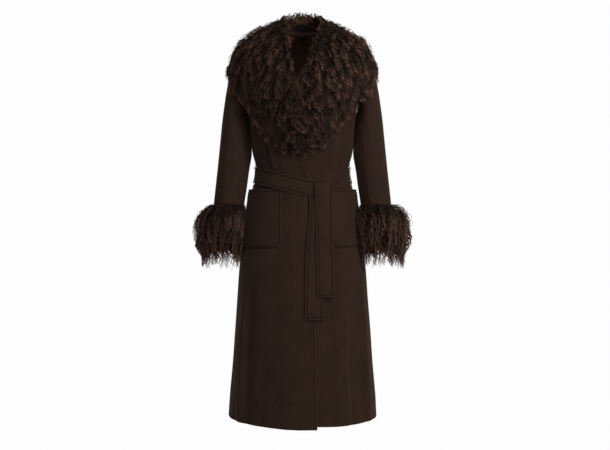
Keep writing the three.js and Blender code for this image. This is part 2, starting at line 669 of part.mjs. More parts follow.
// Half of the shawl collar, from the centre back to its end in front. Its underside lies on
// the body and sleeve heads, and its upper side stands off by the length of the curls.
function collar(side, word) {
  const under = [];
  const upper = [];
  for (let i = 0; i <= COLLAR_COLUMNS; i += 1) {
    const s = i / COLLAR_COLUMNS;
    const at = (column) => along(COLLAR, 'along', s, column);
    const tuft = i % 2 === 0 && i > 0 ? COLLAR_TUFT : -COLLAR_TUFT;
    const inner = { angle: radians(at(word)), z: at('innerZ') };
    const outer = { angle: radians(at('outer')), z: at('outerZ') - tuft };
    const underColumn = [];
    const upperColumn = [];
    for (let j = 0; j <= COLLAR_ROWS; j += 1) {
      const t = j / COLLAR_ROWS;
      const angle = mix(inner.angle, outer.angle, t);
      const z = mix(inner.z, outer.z, t);
      const foot = sectionPoint(COLLAR_BED, angle, z);
      const normal = sectionNormal(COLLAR_BED, angle, z);
      const neckward = new THREE.Vector3(-Math.sin(angle) * 0.7, Math.cos(angle) * 0.35, 1);
      const lean = at('lean') * (1 - ease(t / 0.45));
      const way = normal.clone().lerp(neckward.normalize(), lean * 0.8).normalize();
      const swell = mix(0.82, 1, ease(t / 0.18));
      const height = at('pile') * swell * mix(1, COLLAR_EDGE_PILE, t ** 1.3);
      const tip = foot.clone().addScaledVector(way, height);
      if (i === 0) {
        foot.x = SEAM / 2;
        tip.x = SEAM / 2;
      }
      underColumn.push(mirrored(foot, side));
      upperColumn.push(mirrored(tip, side));
    }
    under.push(underColumn);
    upper.push(upperColumn);
  }
  return wallBetween(`collar_${word}`, upper, under, side, CURLS);
}

// The curly cuff: a thick ring round the end of the sleeve, flattened where it meets the body.
function cuff(side, word) {
  const last = CUFF.length - 1;
  const bore = [];
  for (let k = 0; k <= 4; k += 1) {
    bore.push({ z: mix(CUFF[last].z + 3, CUFF[0].z - 3, k / 4), bore: true });
  }
  const profile = [...CUFF, ...bore];
  const rings = profile.map((row) => {
    const ring = [];
    for (let i = 0; i < CUFF_COLUMNS; i += 1) {
      const turn = (2 * Math.PI * i) / CUFF_COLUMNS;
      const sleeveZ = Math.max(row.z, -680);
      const sleeveInner = along(SLEEVE.slice(8), 'innerZ', sleeveZ, 'innerX');
      const sleeveOuter = along(SLEEVE.slice(8), 'outerZ', sleeveZ, 'outerX');
      const y = along(SLEEVE.slice(8), 'innerZ', sleeveZ, 'y');
      const fit = CLOTH / 2 + 1.3;
      const reach = row.bore
        ? {
          inner: sleeveInner - fit,
          outer: sleeveOuter + fit,
          depth: along(SLEEVE.slice(8), 'innerZ', sleeveZ, 'depth') + fit,
        }
        : row;
      const x = mix(reach.inner, reach.outer, (1 - Math.cos(turn)) / 2);
      const point = new THREE.Vector3(x, y - reach.depth * Math.sin(turn), row.z);
      if (!row.bore) {
        const low = row === CUFF[last] ? (i % 2) * CUFF_TUFT * 2 : 0;
        point.z -= low;
        keepClear(point);
      }
      ring.push(mirrored(point, side));
    }
    return ring;
  });
  const triangles = [];
  const at = (k, i) => (k % rings.length) * CUFF_COLUMNS + (i % CUFF_COLUMNS);
  for (let k = 0; k < rings.length; k += 1) {
    for (let i = 0; i < CUFF_COLUMNS; i += 1) {
      const [a, b, c, d] = [at(k, i), at(k, i + 1), at(k + 1, i + 1), at(k + 1, i)];
      triangles.push(...(side > 0 ? [a, c, b, a, d, c] : [a, b, c, a, c, d]));
    }
  }
  return meshFrom(`cuff_${word}`, rings.flat(), triangles, CURLS);
}

// Moves a point of the cuff sideways until it is clear of the body and the pocket on it.
function keepClear(point) {
  const depth = along(BODY, 'z', point.z, point.y < 0 ? 'front' : 'back');
  const power = along(BODY, 'z', point.z, 'power');
  const margin = LAYER + CLOTH / 2 + CUFF_CLEARANCE;
  const share = Math.min(Math.abs(point.y) / (depth + margin), 1);
  const width = along(BODY, 'z', point.z, 'width') + margin;
  point.x = Math.max(point.x, width * (1 - share ** power) ** (1 / power));
}

const coat = new THREE.Group();
for (const [side, word] of [[-1, 'right'], [1, 'left']]) {
  coat.add(...coatHalf(side, word));
  coat.add(collar(side, word), cuff(side, word), pocket(side, word), beltLoop(side, word));
}
coat.add(...belt(), ...knotAndTails(), hangerLoop());

export default coat;
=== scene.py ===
"""A long belted wool coat with a curly lambskin collar and cuffs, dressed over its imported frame."""

import bpy
import numpy as np
from bpy.props import FloatProperty, FloatVectorProperty, IntProperty, PointerProperty
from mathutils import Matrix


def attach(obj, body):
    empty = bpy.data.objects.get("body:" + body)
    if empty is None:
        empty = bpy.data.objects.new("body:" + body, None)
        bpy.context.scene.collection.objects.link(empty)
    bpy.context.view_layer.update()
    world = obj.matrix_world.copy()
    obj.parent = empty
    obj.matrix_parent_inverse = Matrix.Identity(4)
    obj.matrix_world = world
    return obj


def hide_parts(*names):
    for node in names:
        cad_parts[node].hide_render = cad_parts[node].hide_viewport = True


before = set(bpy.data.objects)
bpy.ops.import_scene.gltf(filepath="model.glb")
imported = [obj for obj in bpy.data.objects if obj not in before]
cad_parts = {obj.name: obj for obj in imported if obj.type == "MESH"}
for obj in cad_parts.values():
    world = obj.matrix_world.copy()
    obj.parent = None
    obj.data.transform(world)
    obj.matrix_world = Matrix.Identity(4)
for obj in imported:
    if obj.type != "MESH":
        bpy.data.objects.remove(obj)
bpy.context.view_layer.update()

bl_info = {
    "name": "Belted wool coat",
    "version": (1, 0, 0),
    "blender": (4, 5, 0),
    "location": "3D View > Sidebar > Coat",
    "description": "Makes a belted wool coat with a curly lambskin collar and cuffs",
    "category": "Add Mesh",
}

# ---------------------------------------------------------------- sizes, in millimetres
MM = 0.001
CLOTH = 2.5  # thickness of the double-faced wool
LAYER = 3.3  # from the middle of one layer to the middle of the next
HEM_Z, UNDERARM_Z = -1200, -245
YOKE_ROWS = 31  # grid lines from the underarm to the shoulder
SHOULDER_Y = 8
NECK_POINT = (72, -4)  # x and z where the shoulder seam meets the neck
SHOULDER_TIP = (178, -62)
ARMHOLE_X, ARMHOLE_FRONT, ARMHOLE_BACK, ARMHOLE_SCOOP = 168, 60, 64, 17
BACK_NECK_Y = 62
WRAP_LIFT, WRAP_FROM, WRAP_TO = 3.7, 74, 46  # the top front rises between these two x
UNDER_HEM_RISE = 10
STITCH_IN = 6.5  # the edge stitching lies this far in from a free edge
STITCH_DEEP = 1.5
STITCH_WIDE = 1.5
EDGE_ROUND, EDGE_THIN = 1.6, 0.45  # a free edge thins to this share over this width
EDGE_SWELL, SWELL_IN, SWELL_WIDE = 0.6, 2.6, 1.8  # the ridge outside the stitching
PALE_EDGE_WIDE = 2.4  # how far in an edge is painted paler, for its lighter fibre and partly as a painted highlight
EDGE_ROLL = (3.6, 6.0)  # how far the front edge rolls up below the belt tails and above the belt
SEAM_DEEP, CENTRE_SEAM_DEEP, SEAM_WIDE = 1.5, 1.1, 2.2  # how far a seam draws the cloth in

BELT_WIDTH, BELT_SIDE_Z, BELT_FRONT_Z, KNOT_X = 50, -457, -511, 45
BELT_OUT, BELT_SIDE_OUT = 7.2, 4.2  # how far the belt stands off at the knot and at the sides
BELT_GAP = 0.0012  # radians from a side seam to the end of a stretch of the belt
WAIST_HALF = 141  # half the coat's width at the belt
FRONT_TAIL = {"top": -487, "bottom": -822, "top_x": 59, "bottom_x": 65, "top_wide": 47, "wide": 49}
REAR_TAIL = {"top": -532, "bottom": -888, "top_x": 47, "bottom_x": 34, "out": 9.4, "wide": 52}
KNOT = {"left": 35, "right": 81, "top": -490, "bottom": -529, "out": 12.2, "thick": 6}
POCKET = {"inner": 60, "top": -505, "bottom": -676, "corner": 22, "outer_angle": 83, "gape": 5}
LOOP = {"width": 9, "top": -421, "bottom": -494, "out": 6.9, "thick": 1.4}
HANGER = {"half": 18, "z": -3, "drop": 5, "height": 4, "thick": 1.6, "off": 3.4}
SLEEVE_SEAM_TURN = np.radians(54)  # the two sleeve seams lie this far each side of the underarm


def table(names, *rows):
    """Named columns from rows of numbers."""
    return dict(zip(names.split(), np.array(rows, float).T))


# Level sections of the body: half width, depth in front and behind, and how square it is.
BODY = table(
    "z width front back power",
    (-1200, 228, 178, 165, 1.74),
    (-1135, 224, 172, 160, 1.79),
    (-1036, 215, 163, 153, 1.88),
    (-937, 208, 155, 147, 2),
    (-837, 201, 147, 141, 2.05),
    (-738, 194, 139, 136, 2.1),
    (-676, 186, 134, 131, 2.1),
    (-600, 178, 128, 126, 2.1),
    (-540, 167, 121, 118, 2.1),
    (-510, 159, 117, 113, 2.1),
    (-482, 147, 112, 107, 2.1),
    (-457, 141, 109, 104, 2.1),
    (-432, 142, 109, 103, 2.1),
    (-391, 153, 112, 105, 2.15),
    (-345, 159, 116, 108, 2.2),
    (-295, 163, 118, 110, 2.2),
    (-245, 168, 120, 112, 2.2),
)
# The free edge of each front, as x on the front's own side of the centre.
TOP_EDGE = table(
    "z x", (-1200, -43), (-891, -39), (-560, -25), (-472, -17), (-389, 9), (-330, 13), (-245, 15)
)
UNDER_EDGE = table("z x", (-1200, -30), (-891, -34), (-472, -45), (-389, -40), (-300, -25), (-245, -12))
# From the underarm level up to the neck point: the two necklines and the centre back.
TOP_NECKLINE = ((15, -118, -200), (36, -103, -125), (60, -56, -50))
UNDER_NECKLINE = ((0, -118, -200), (26, -103, -125), (57, -56, -50))
CENTRE_BACK = ((0, 111, -180), (0, 104, -110), (0, 88, -50))

# Soft folds that hang in the cloth. Side +1 is the wearer's left, angles in degrees from the
# centre front.
FOLDS = table(
    "side angle width out top bottom",
    (-1, 43, 7, -5, -300, -452),
    (1, 40, 6, 4, -360, -452),
    (1, 54, 6, -4, -350, -452),
    (-1, 60, 9, 6, -700, -1230),
    (-1, 76, 8, -5, -720, -1230),
    (1, 36, 10, 5, -700, -1230),
    (1, 55, 9, -6, -720, -1230),
    (1, 74, 9, 4, -760, -1230),
    (-1, 112, 10, 6, -640, -1230),
    (-1, 133, 10, -7, -600, -1230),
    (-1, 155, 11, 6, -560, -1230),
    (1, 108, 10, 5, -660, -1230),
    (1, 128, 10, -6, -600, -1230),
    (1, 150, 11, 7, -580, -1230),
)
# Finer creases that the frame leaves out: the pulled fold of the top front, the gathers above
# and below the belt, and the narrow ridges of the skirt.
CREASES = table(
    "side angle width out top bottom",
    (-1, 42.6, 2.4, -11.0, -320, -446),
    (-1, 37.6, 3.0, 6.2, -320, -446),
    (-1, 51, 6.0, -3.0, -330, -446),
    (-1, 62, 3.0, -1.6, -380, -448),
    (-1, 22, 4.0, 1.4, -400, -450),
    (1, 45, 2.6, 3.4, -375, -450),
    (1, 49, 2.0, -3.6, -385, -450),
    (1, 60, 2.6, 3.0, -370, -448),
    (1, 66, 2.0, -2.8, -390, -450),
    (1, 28, 4.0, -1.5, -400, -450),
    (-1, 49, 4.4, -6.5, -720, -1240),
    (-1, 57, 2.8, 7.5, -720, -1240),
    (-1, 65, 3.6, -5.5, -760, -1240),
    (-1, 20, 6.0, 1.8, -760, -1240),
    (-1, 34, 5.0, -2.0, -900, -1240),
    (1, 28, 4.4, 5.5, -740, -1240),
    (1, 43.5, 4.2, -8.5, -720, -1240),
    (1, 63, 4.6, 8.0, -740, -1240),
    (-1, 100, 3.4, 2.0, -395, -450),
    (-1, 118, 3.0, -2.2, -380, -450),
    (-1, 140, 3.6, 2.2, -400, -450),
    (-1, 163, 3.4, -2.0, -385, -450),
    (1, 105, 3.2, -2.0, -390, -450),
    (1, 124, 3.6, 2.4, -376, -450),
    (1, 146, 3.0, -2.2, -400, -450),
    (1, 160, 3.6, 1.8, -392, -450),
    (-1, 122, 4.0, 2.4, -800, -1240),
    (-1, 146, 4.5, -2.6, -740, -1240),
    (1, 118, 4.0, -2.2, -820, -1240),
    (1, 140, 4.5, 2.4, -760, -1240),
)

# Rings of the sleeve: inner and outer line from the front, its middle fore and aft, half depth.
SLEEVE = table(
    "inner_x inner_z outer_x outer_z y depth",
    (168, -245, 178, -62, 4, 62),
    (170, -242, 191, -77, 3, 61),
    (171, -245, 203, -98, 2, 60),
    (171.2, -250.5, 215, -126, 1, 60),
    (170.2, -258, 226, -162, 0, 60),
    (168.2, -267, 234.5, -202, 0, 60),
    (166.6, -279, 241, -246, 0, 60),
    (164, -300, 247, -292, -1, 60),
    (160.6, -345, 252, -345, -3, 59),
    (158, -392, 256.5, -392, -5, 58.5),
    (165.5, -440, 261, -440, -8, 58),
    (172, -490, 266, -490, -12, 57),
    (180, -545, 271.5, -545, -16, 55.5),
    (187, -612, 278, -612, -21, 54),
    (194, -680, 284, -680, -26, 52),
)
SLEEVE["ring"] = np.arange(15.0)
SLEEVE["left_armhole"] = np.array([0, 0.45, 0.8] + [1.0] * 12)
LEVEL_RING = 8  # from this ring down the rings are level

# Level sections of the form that the collar lies on: body and sleeve heads together.
COLLAR_BED = table(
    "z width front back power",
    (8, 69, 30, 62.5, 2),
    (-4, 78, 37, 68, 2),
    (-20, 108, 52, 78, 1.8),
    (-40, 146, 68, 88, 1.7),
    (-62, 184, 84, 97, 1.75),
    (-98, 211, 103, 107, 2),
    (-126, 223, 114, 112, 2.1),
    (-160, 232, 121, 116, 2.15),
    (-209, 238, 126, 118, 2.15),
    (-245, 224, 128, 119, 2.15),
    (-277, 198, 128, 119, 2.15),
    (-316, 181, 126, 118, 2.15),
    (-350, 175, 123.5, 116, 2.15),
    (-391, 171, 119.5, 113, 2.15),
    (-416, 169, 117.5, 111, 2.15),
)
# The shawl collar from the centre back (along 0) to its lower end in front (along 1).
COLLAR = table(
    "along right left inner_z outer outer_z pile lean",
    (0, 180, 180, 2, 180, -156, 56, 1),
    (0.12, 150, 150, 2, 153, -162, 56, 1),
    (0.24, 118, 118, 1, 124, -164, 53, 1),
    (0.34, 92, 92, -1, 99, -156, 46, 1),
    (0.44, 58, 58, -18, 82, -150, 39, 0.9),
    (0.52, 33, 31, -46, 67, -174, 36, 0.8),
    (0.6, 19, 15, -88, 58, -212, 37, 0.6),
    (0.68, 10, 5, -130, 55, -260, 38, 0.4),
    (0.76, 4.6, -2.2, -182, 49, -302, 38, 0),
    (0.84, 4, -3, -244, 40, -342, 36, 0),
    (0.92, 4, -3, -312, 29, -376, 33, 0),
    (1, 3.4, -2.4, -384, 10, -407, 26, 0),
)
COLLAR_EDGE_PILE = 0.1
# Degrees by which the outer edge is slimmer low down, and by which the inner edge rolls forwards
# beside the neck.
COLLAR_SLIM = {"right": 7, "left": 12}
COLLAR_ROLL = {"right": 12, "left": 4}
COLLAR_RAISE = 20  # how much higher the outer edge lies beside the shoulder
# The curly cuff: how far it reaches outwards, towards the body, and fore and aft.
CUFF = table(
    "z outer inner depth",
    (-546, 279, 176, 60),
    (-554, 299, 168, 72),
    (-575, 320, 164, 84),
    (-602, 333, 163, 91),
    (-634, 338, 165, 93),
    (-666, 335, 170, 90),
    (-694, 322, 180, 82),
    (-718, 303, 190, 70),
    (-732, 291, 198, 62),
)
CUFF_CLEARANCE = 3.5
# Heights between which the cuff's hair grows, that its tips reach, where its underwool ends, and
# below which a lock keeps its place on the bell.
CUFF_HAIR = {"first": -548.0, "last": -698.0, "tips": -742, "wool_end": -694, "held": -708}
CUFF_OVER_FRONT = {"right": 5, "left": 20}  # how far its hair falls over the front
# A lock's winding (millimetres of hair for each turn, and its width), how thick a lock and a
# stray one are, how many make a tuft and how far they gather, the share of strays, how pale the
# root is and how much of the colour the palest lock shows.
CURL_KEYS = ("pitch", "width", "thick", "fine", "tuft", "gather", "strays", "pale", "tone")
COLLAR_CURL = dict(zip(CURL_KEYS, (15, 3.4, 1.45, 0.7, 6, 0.7, 0.16, 0.0, 1.0)))
CUFF_CURL = dict(zip(CURL_KEYS, (15, 3.0, 1.35, 0.8, 3, 0.75, 0.2, 0.3, 0.68)))
RIM_LOCKS, EDGE_LOCKS = 0.34, 0.24  # shares of the locks round the neck and at the outer edge
COLLAR_HAIR = (34.0, 44.0)  # length of the hair at the neck and at the outer edge
# Heights over the collar's bed: the skin's two faces, the underwool's foot and its least top.
SKIN_FROM, SKIN_TO, WOOL_FROM, WOOL_TO = 0.4, 2.6, 2.9, 3.4
LOWEST_HAIR = 5.0  # a lock never lies closer to the collar's bed
SIDES = ((-1, "right"), (1, "left"))
EDGES = ("first", "last", "low", "top")  # of a grid: its end columns and its end rows
FLOOR_Z = -1.30
# Each lamp's place in metres, its size and its share of the key light's power.
LAMPS = (
    ("key", (1.9, -1.9, 0.5), 0.6, 1),
    ("fill", (-1.4, -2.6, 0.0), 1.5, 0.24),
    ("back", (0.7, 2.3, 0.9), 1.6, 0.55),
    ("top", (0.15, -1.5, 1.3), 0.8, 0.34),
)
LAMP_AIM = (0, 0, -0.55)
MID_COLUMN, MIDDLE = 302.5, 305.0  # the coat's centre line and the middle of 610 columns
PIXEL = 3.1 * MM  # a pixel at the coat's middle plane
CAMERA_AWAY = 2.4
CAMERA_Z = -0.611
SENSOR = 36  # millimetres


# ---------------------------------------------------------------- settings that a user changes
def size_of(name, text, value, low, high):
    """A length in millimetres for the sidebar."""
    return FloatProperty(name=name, description=text, default=value, min=low, max=high)


def colour_of(name, text, value):
    """A colour for the sidebar, from an sRGB hex value."""
    return FloatVectorProperty(
        name=name, description=text, default=linear(value), min=0, max=1, size=3, subtype="COLOR"
    )


def linear(value):
    """Turns an sRGB hex value to linear red, green and blue."""
    parts = [int(value[i : i + 2], 16) / 255 for i in (0, 2, 4)]
    return tuple(c / 12.92 if c <= 0.04045 else ((c + 0.055) / 1.055) ** 2.4 for c in parts)


class ClothSettings(bpy.types.PropertyGroup):
    """The wool and its sewing."""

    wool: colour_of("Wool", "Colour of the wool", "30221b")
    wool_dark: colour_of("Wool shade", "Colour of the darker fibres", "1f1612")
    stitch_depth: size_of("Stitch depth", "How deep the edge stitching lies, in mm", STITCH_DEEP, 0, 2)
    crease: FloatProperty(name="Creases", description="Strength of the creases", default=1, min=0, max=2)


class CurlSettings(bpy.types.PropertyGroup):
    """The curly lambskin."""

    # the near-black root is partly the hair's own colour and partly painted shade deep in the pile
    root: colour_of("Root", "Colour of the hair at its root", "040201")
    hair: colour_of("Hair", "Colour of the hair", "38241b")
    # the pale tip is partly the hair's own colour and partly a painted highlight
    tip: colour_of("Tip", "Colour of the hair at its tip", "ba8870")
    collar_locks: IntProperty(
        name="Collar locks", description="Locks in each half of the collar", default=2660, min=100, max=8000
    )
    cuff_locks: IntProperty(
        name="Cuff locks", description="Locks in each cuff", default=1050, min=100, max=4000
    )
    seed: IntProperty(name="Seed", description="Start of the random draws", default=7, min=0)


class StageSettings(bpy.types.PropertyGroup):
    """The floor and the light."""

    floor: colour_of("Floor", "Colour of the floor and backdrop", "ffffff")
    key: FloatProperty(name="Key light", description="Power of the key light in watts", default=61, min=0)
    ambient: FloatProperty(
        name="Ambient", description="Strength of the light all round", default=0.085, min=0
    )


# ---------------------------------------------------------------- small helpers
def ease(value):
    """3v^2 - 2v^3 of a value held between 0 and 1."""
    v = np.clip(value, 0, 1)
    return v * v * (3 - 2 * v)


def mix(a, b, share):
    """The value that lies at a share of the way from a to b."""
    return a + (b - a) * share


def signed_power(value, power):
    """A power that keeps the sign."""
    return np.sign(value) * np.abs(value) ** power


def along(rows, key, at, column):
    """A cubic through a table's rows, with each row's slope taken from its two neighbours."""
    keys, values = rows[key], rows[column]
    if keys[0] > keys[-1]:
        keys, values = keys[::-1], values[::-1]
    slopes = np.empty_like(values)
    slopes[1:-1] = (values[2:] - values[:-2]) / (keys[2:] - keys[:-2])
    slopes[0] = (values[1] - values[0]) / (keys[1] - keys[0])
    slopes[-1] = (values[-1] - values[-2]) / (keys[-1] - keys[-2])
    at = np.asarray(at, float)
    i = np.clip(np.searchsorted(keys, at, side="right") - 1, 0, len(keys) - 2)
    span = keys[i + 1] - keys[i]
    t = np.clip((at - keys[i]) / span, 0, 1)
    a, b, m, n = values[i], values[i + 1], slopes[i] * span, slopes[i + 1] * span
    return (((a - b) * 2 + m + n) * t + (b - a) * 3 - 2 * m - n) * t * t + m * t + a


def bell(distance, width):
    """A bell-shaped weight, exp(-(d/w)^2)."""
    return np.exp(-((distance / width) ** 2))


def unit(vectors):
    """Vectors of length one."""
    return vectors / np.maximum(np.linalg.norm(vectors, axis=-1, keepdims=True), 1e-9)


def stack(x, y, z):
    """Points from their three coordinates, spread to one shape."""
    return np.stack(np.broadcast_arrays(x, y, z), axis=-1).astype(float)


def section_point(rows, angle, z):
    """Superellipse of the table's section at height z: x = w sin^r, y = -d cos^r, r = 2/power."""
    round_by = 2 / along(rows, "z", z, "power")
    depth = np.where(np.cos(angle) >= 0, along(rows, "z", z, "front"), along(rows, "z", z, "back"))
    x = along(rows, "z", z, "width") * signed_power(np.sin(angle), round_by)
    return stack(x, -depth * signed_power(np.cos(angle), round_by), z)


def section_normal(rows, angle, z):
    """The outward normal of the same form, by differences."""
    turn = np.radians(1.5)
    around = section_point(rows, angle + turn, z) - section_point(rows, angle - turn, z)
    up = section_point(rows, angle, z + 3) - section_point(rows, angle, z - 3)
    return unit(np.cross(around, up))


def angle_at(rows, x, z):
    """The section's angle where it has this x."""
    share = x / along(rows, "z", z, "width")
    return np.arcsin(np.clip(signed_power(share, along(rows, "z", z, "power") / 2), -1, 1))


def fold_relief(rows, side, angle, z):
    """Sum of bell-shaped ridges and troughs, each fading in at its top and out at its bottom."""
    out = np.zeros(np.broadcast_shapes(np.shape(angle), np.shape(z)))
    for k in np.flatnonzero(rows["side"] == side):
        across = bell(angle - np.radians(rows["angle"][k]), np.radians(rows["width"][k]))
        length = rows["top"][k] - rows["bottom"][k]
        down = ease((rows["top"][k] - z) / (length * 0.4)) * ease((z - rows["bottom"][k]) / (length * 0.2))
        out = out + rows["out"][k] * across * down
    return out


def body_point(side, angle, z, out=0.0, creased=1.0):
    """The coat's body with its folds, moved out along the normal."""
    normal = section_normal(BODY, angle, z)
    relief = fold_relief(FOLDS, side, angle, z) + creased * fold_relief(CREASES, side, angle, z)
    return section_point(BODY, angle, z) + normal * (out + relief)[..., None]


def mirrored(points, side):
    """Points moved to the wearer's right when side is -1."""
    return points * np.array([side, 1, 1])


def grid_normals(points, facing):
    """Normals of a grid by central differences along its columns and rows."""
    across = np.gradient(points, axis=0)
    up = np.gradient(points, axis=1)
    return unit(np.cross(across, up)) * facing


def lengths(points, axis):
    """How far each grid point lies from the grid's first edge, along the surface."""
    steps = np.linalg.norm(np.diff(points, axis=axis), axis=-1)
    pad = np.zeros_like(np.take(steps, [0], axis=axis))
    return np.concatenate([pad, np.cumsum(steps, axis=axis)], axis=axis)


def spaced(count, near, edges=("first", "last")):
    """Shares from 0 to 1, evenly spaced, with nine close steps inside the named edges."""
    body = np.linspace(0, 1, count + 1)
    close = near * np.array([0.08, 0.2, 0.42, 0.62, 0.8, 1.0, 1.2, 1.45, 1.8])
    extra = [steps for edge, steps in (("first", close), ("last", 1 - close)) if edge in edges]
    body = body[(body == 0) | (body == 1) | ((body > near * 2) & (body < 1 - near * 2))]
    return np.unique(np.round(np.concatenate([body, *extra]), 7))


def make_mesh(name, points, faces):
    """A mesh object at the origin from points in millimetres and a face array."""
    mesh = bpy.data.meshes.new(name)
    faces = np.asarray(faces, np.int32)
    corners = faces.shape[1]
    mesh.vertices.add(len(points))
    mesh.vertices.foreach_set("co", (np.asarray(points, np.float32) * MM).ravel())
    mesh.loops.add(faces.size)
    mesh.loops.foreach_set("vertex_index", faces.ravel())
    mesh.polygons.add(len(faces))
    mesh.polygons.foreach_set("loop_start", np.arange(0, faces.size, corners, dtype=np.int32))
    mesh.polygons.foreach_set("loop_total", np.full(len(faces), corners, np.int32))
    mesh.polygons.foreach_set("use_smooth", np.full(len(faces), True))
    mesh.update(calc_edges=True)
    mesh.validate()
    piece = bpy.data.objects.new(name, mesh)
    bpy.context.scene.collection.objects.link(piece)
    return piece


def quads(a, b, c, d):
    """Four-sided faces from the point numbers of their four corners."""
    return np.stack([a.ravel(), b.ravel(), c.ravel(), d.ravel()], axis=1)


def wall_faces(shape, facing, tube=False):
    """Quads of two stacked grids of points and the strips that join their edges. The columns of
    a tube go round it, so that only its two ends have strips."""
    index = np.arange(shape[0] * shape[1]).reshape(shape[:2])
    if tube:
        index = np.append(index, index[:1], axis=0)
    other = index + shape[0] * shape[1]
    faces = [
        quads(index[:-1, :-1], index[1:, :-1], index[1:, 1:], index[:-1, 1:]),
        quads(other[:-1, :-1], other[:-1, 1:], other[1:, 1:], other[1:, :-1]),
        quads(index[:-1, 0], other[:-1, 0], other[1:, 0], index[1:, 0]),
        quads(index[:-1, -1], index[1:, -1], other[1:, -1], other[:-1, -1]),
    ]
    if not tube:
        faces.append(quads(index[0, :-1], index[0, 1:], other[0, 1:], other[0, :-1]))
        faces.append(quads(index[-1, :-1], other[-1, :-1], other[-1, 1:], index[-1, 1:]))
    faces = np.concatenate(faces)
    return faces if facing > 0 else faces[:, ::-1]


def closed_layer(name, upper, lower, side, tube=False):
    """A closed layer between two grids of points, on the wearer's right when side is -1."""
    both = mirrored(np.concatenate([upper.reshape(-1, 3), lower.reshape(-1, 3)]), side)
    return make_mesh(name, both, wall_faces(upper.shape, side, tube))


def cloth_wall(name, points, facing, thickness=CLOTH, free=(), stitched=0.0, sewn=None):
    """A wall of cloth on a grid of points. Free edges are rounded and stitched: the distance d
    from the edge thins the wall by a quarter circle over its last millimetre, a soft trough
    exp(-((d - s)/w)^2) marks the stitching on both faces, and the edge outside it swells."""
    normals = grid_normals(points, facing)
    half = np.full(points.shape[:2], thickness / 2)
    dip, swell, pale_edge_and_highlight = (np.zeros(points.shape[:2]) for _ in range(3))
    sewn = free if sewn is None else sewn
    from_first, from_low = lengths(points, 0), lengths(points, 1)
    away = {
        "first": from_first,
        "last": from_first[-1:] - from_first,
        "low": from_low,
        "top": from_low[:, -1:] - from_low,
    }
    for edge, distance in away.items():
        if edge in free:
            rounded = np.sqrt(1 - (1 - np.clip(distance / EDGE_ROUND, 0, 1)) ** 2)
            half = half * mix(EDGE_THIN, 1, rounded)
        if edge in sewn:
            dip = np.maximum(dip, stitched * bell(distance - STITCH_IN, STITCH_WIDE))
            swell = np.maximum(swell, EDGE_SWELL * stitched * bell(distance - SWELL_IN, SWELL_WIDE))
            # the paler edge: its lighter fibre, and partly a painted highlight where the edge would catch
            # the light
            pale_edge_and_highlight = np.maximum(pale_edge_and_highlight, bell(distance, PALE_EDGE_WIDE))
    outer = points + normals * (half - dip + swell)[..., None]
    inner = points - normals * (half - dip * 0.6)[..., None]
    both = np.concatenate([outer.reshape(-1, 3), inner.reshape(-1, 3)])
    piece = make_mesh(name, both, wall_faces(points.shape, facing))
    # red: the paler edge, partly fibre and partly painted highlight; green: painted shade in the stitch
    # trough, at half its depth
    paint(piece, "sewing", np.tile(pale_edge_and_highlight.ravel(), 2), np.tile(dip.ravel() / 2, 2))
    return piece, flat_cut(points)


def paint(piece, name, first, second):
    """Two values at every point of a mesh, held as the red and green of an attribute."""
    colour = np.zeros((first.size, 4), np.float32)
    colour[:, 0] = first
    colour[:, 1] = second
    colour[:, 3] = 1
    layer = piece.data.color_attributes.new(name, "FLOAT_COLOR", "POINT")
    layer.data.foreach_set("color", colour.ravel())


def cell_areas(points):
    """The area of each quad of a grid, from half the cross product of its diagonals."""
    one, two = points[1:, 1:] - points[:-1, :-1], points[1:, :-1] - points[:-1, 1:]
    return np.linalg.norm(np.cross(one, two), axis=-1) / 2


def finish_piece(piece, node, material):
    """Puts a piece on the coat's one body in place of its node."""
    piece.data.materials.append(material)
    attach(piece, "root")
    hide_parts(node)


def flat_cut(points):
    """Width, length and area in metres of a grid of points laid flat."""
    width, length = lengths(points, 0)[-1].max(), lengths(points, 1)[:, -1].max()
    area = float(cell_areas(points).sum())
    return {"width": float(width) * MM, "length": float(length) * MM, "area": area * MM * MM}


# ---------------------------------------------------------------- materials
def add_node(owner, kind, feeds=None, **settings):
    """Adds a shader node with its settings. Its sockets are fed by other sockets or plain values."""
    node = owner.node_tree.nodes.new("ShaderNode" + kind)
    for key, value in settings.items():
        setattr(node, key, value)
    for key, value in (feeds or {}).items():
        if isinstance(value, bpy.types.NodeSocket):
            owner.node_tree.links.new(value, node.inputs[key])
        else:
            node.inputs[key].default_value = value
    return node


def blend(owner, factor, low, high):
    """A colour mixed by a factor, from plain colours or from sockets."""
    return add_node(owner, "Mix", {0: factor, 6: low, 7: high}, data_type="RGBA").outputs[2]


def reckon(owner, operation, *values, **settings):
    """The result of a Math node on sockets or plain values."""
    return add_node(owner, "Math", dict(enumerate(values)), operation=operation, **settings).outputs[0]


def noise(owner, place, size, detail, rough):
    """A noise value on a place vector, of about this size in millimetres."""
    feeds = {"Vector": place, "Scale": 1 / (size * MM), "Detail": detail, "Roughness": rough}
    return add_node(owner, "TexNoise", feeds).outputs["Fac"]


def bump(owner, height, strength, distance):
    """A normal that follows a height, as deep as this distance in millimetres."""
    feeds = {"Height": height, "Strength": strength, "Distance": distance * MM}
    return add_node(owner, "Bump", feeds).outputs[0]


def held_values(owner, name):
    """The first and the second value that paint() put on the points."""
    held = add_node(owner, "Attribute", attribute_name=name).outputs["Color"]
    return add_node(owner, "SeparateColor", {0: held}).outputs[:2]


def opaque(colour, share=1.0):
    """A colour, made darker or paler by a share, with full alpha."""
    return (*(share * c for c in colour), 1)


def make_material(name, surface):
    """The material of this name, made at its first use by a function that returns its shader."""
    material = bpy.data.materials.get(name)
    if material:
        return material
    material = bpy.data.materials.new(name)
    material.use_nodes = True
    material.node_tree.nodes.clear()
    add_node(material, "OutputMaterial", {0: surface(material).outputs[0]})
    return material


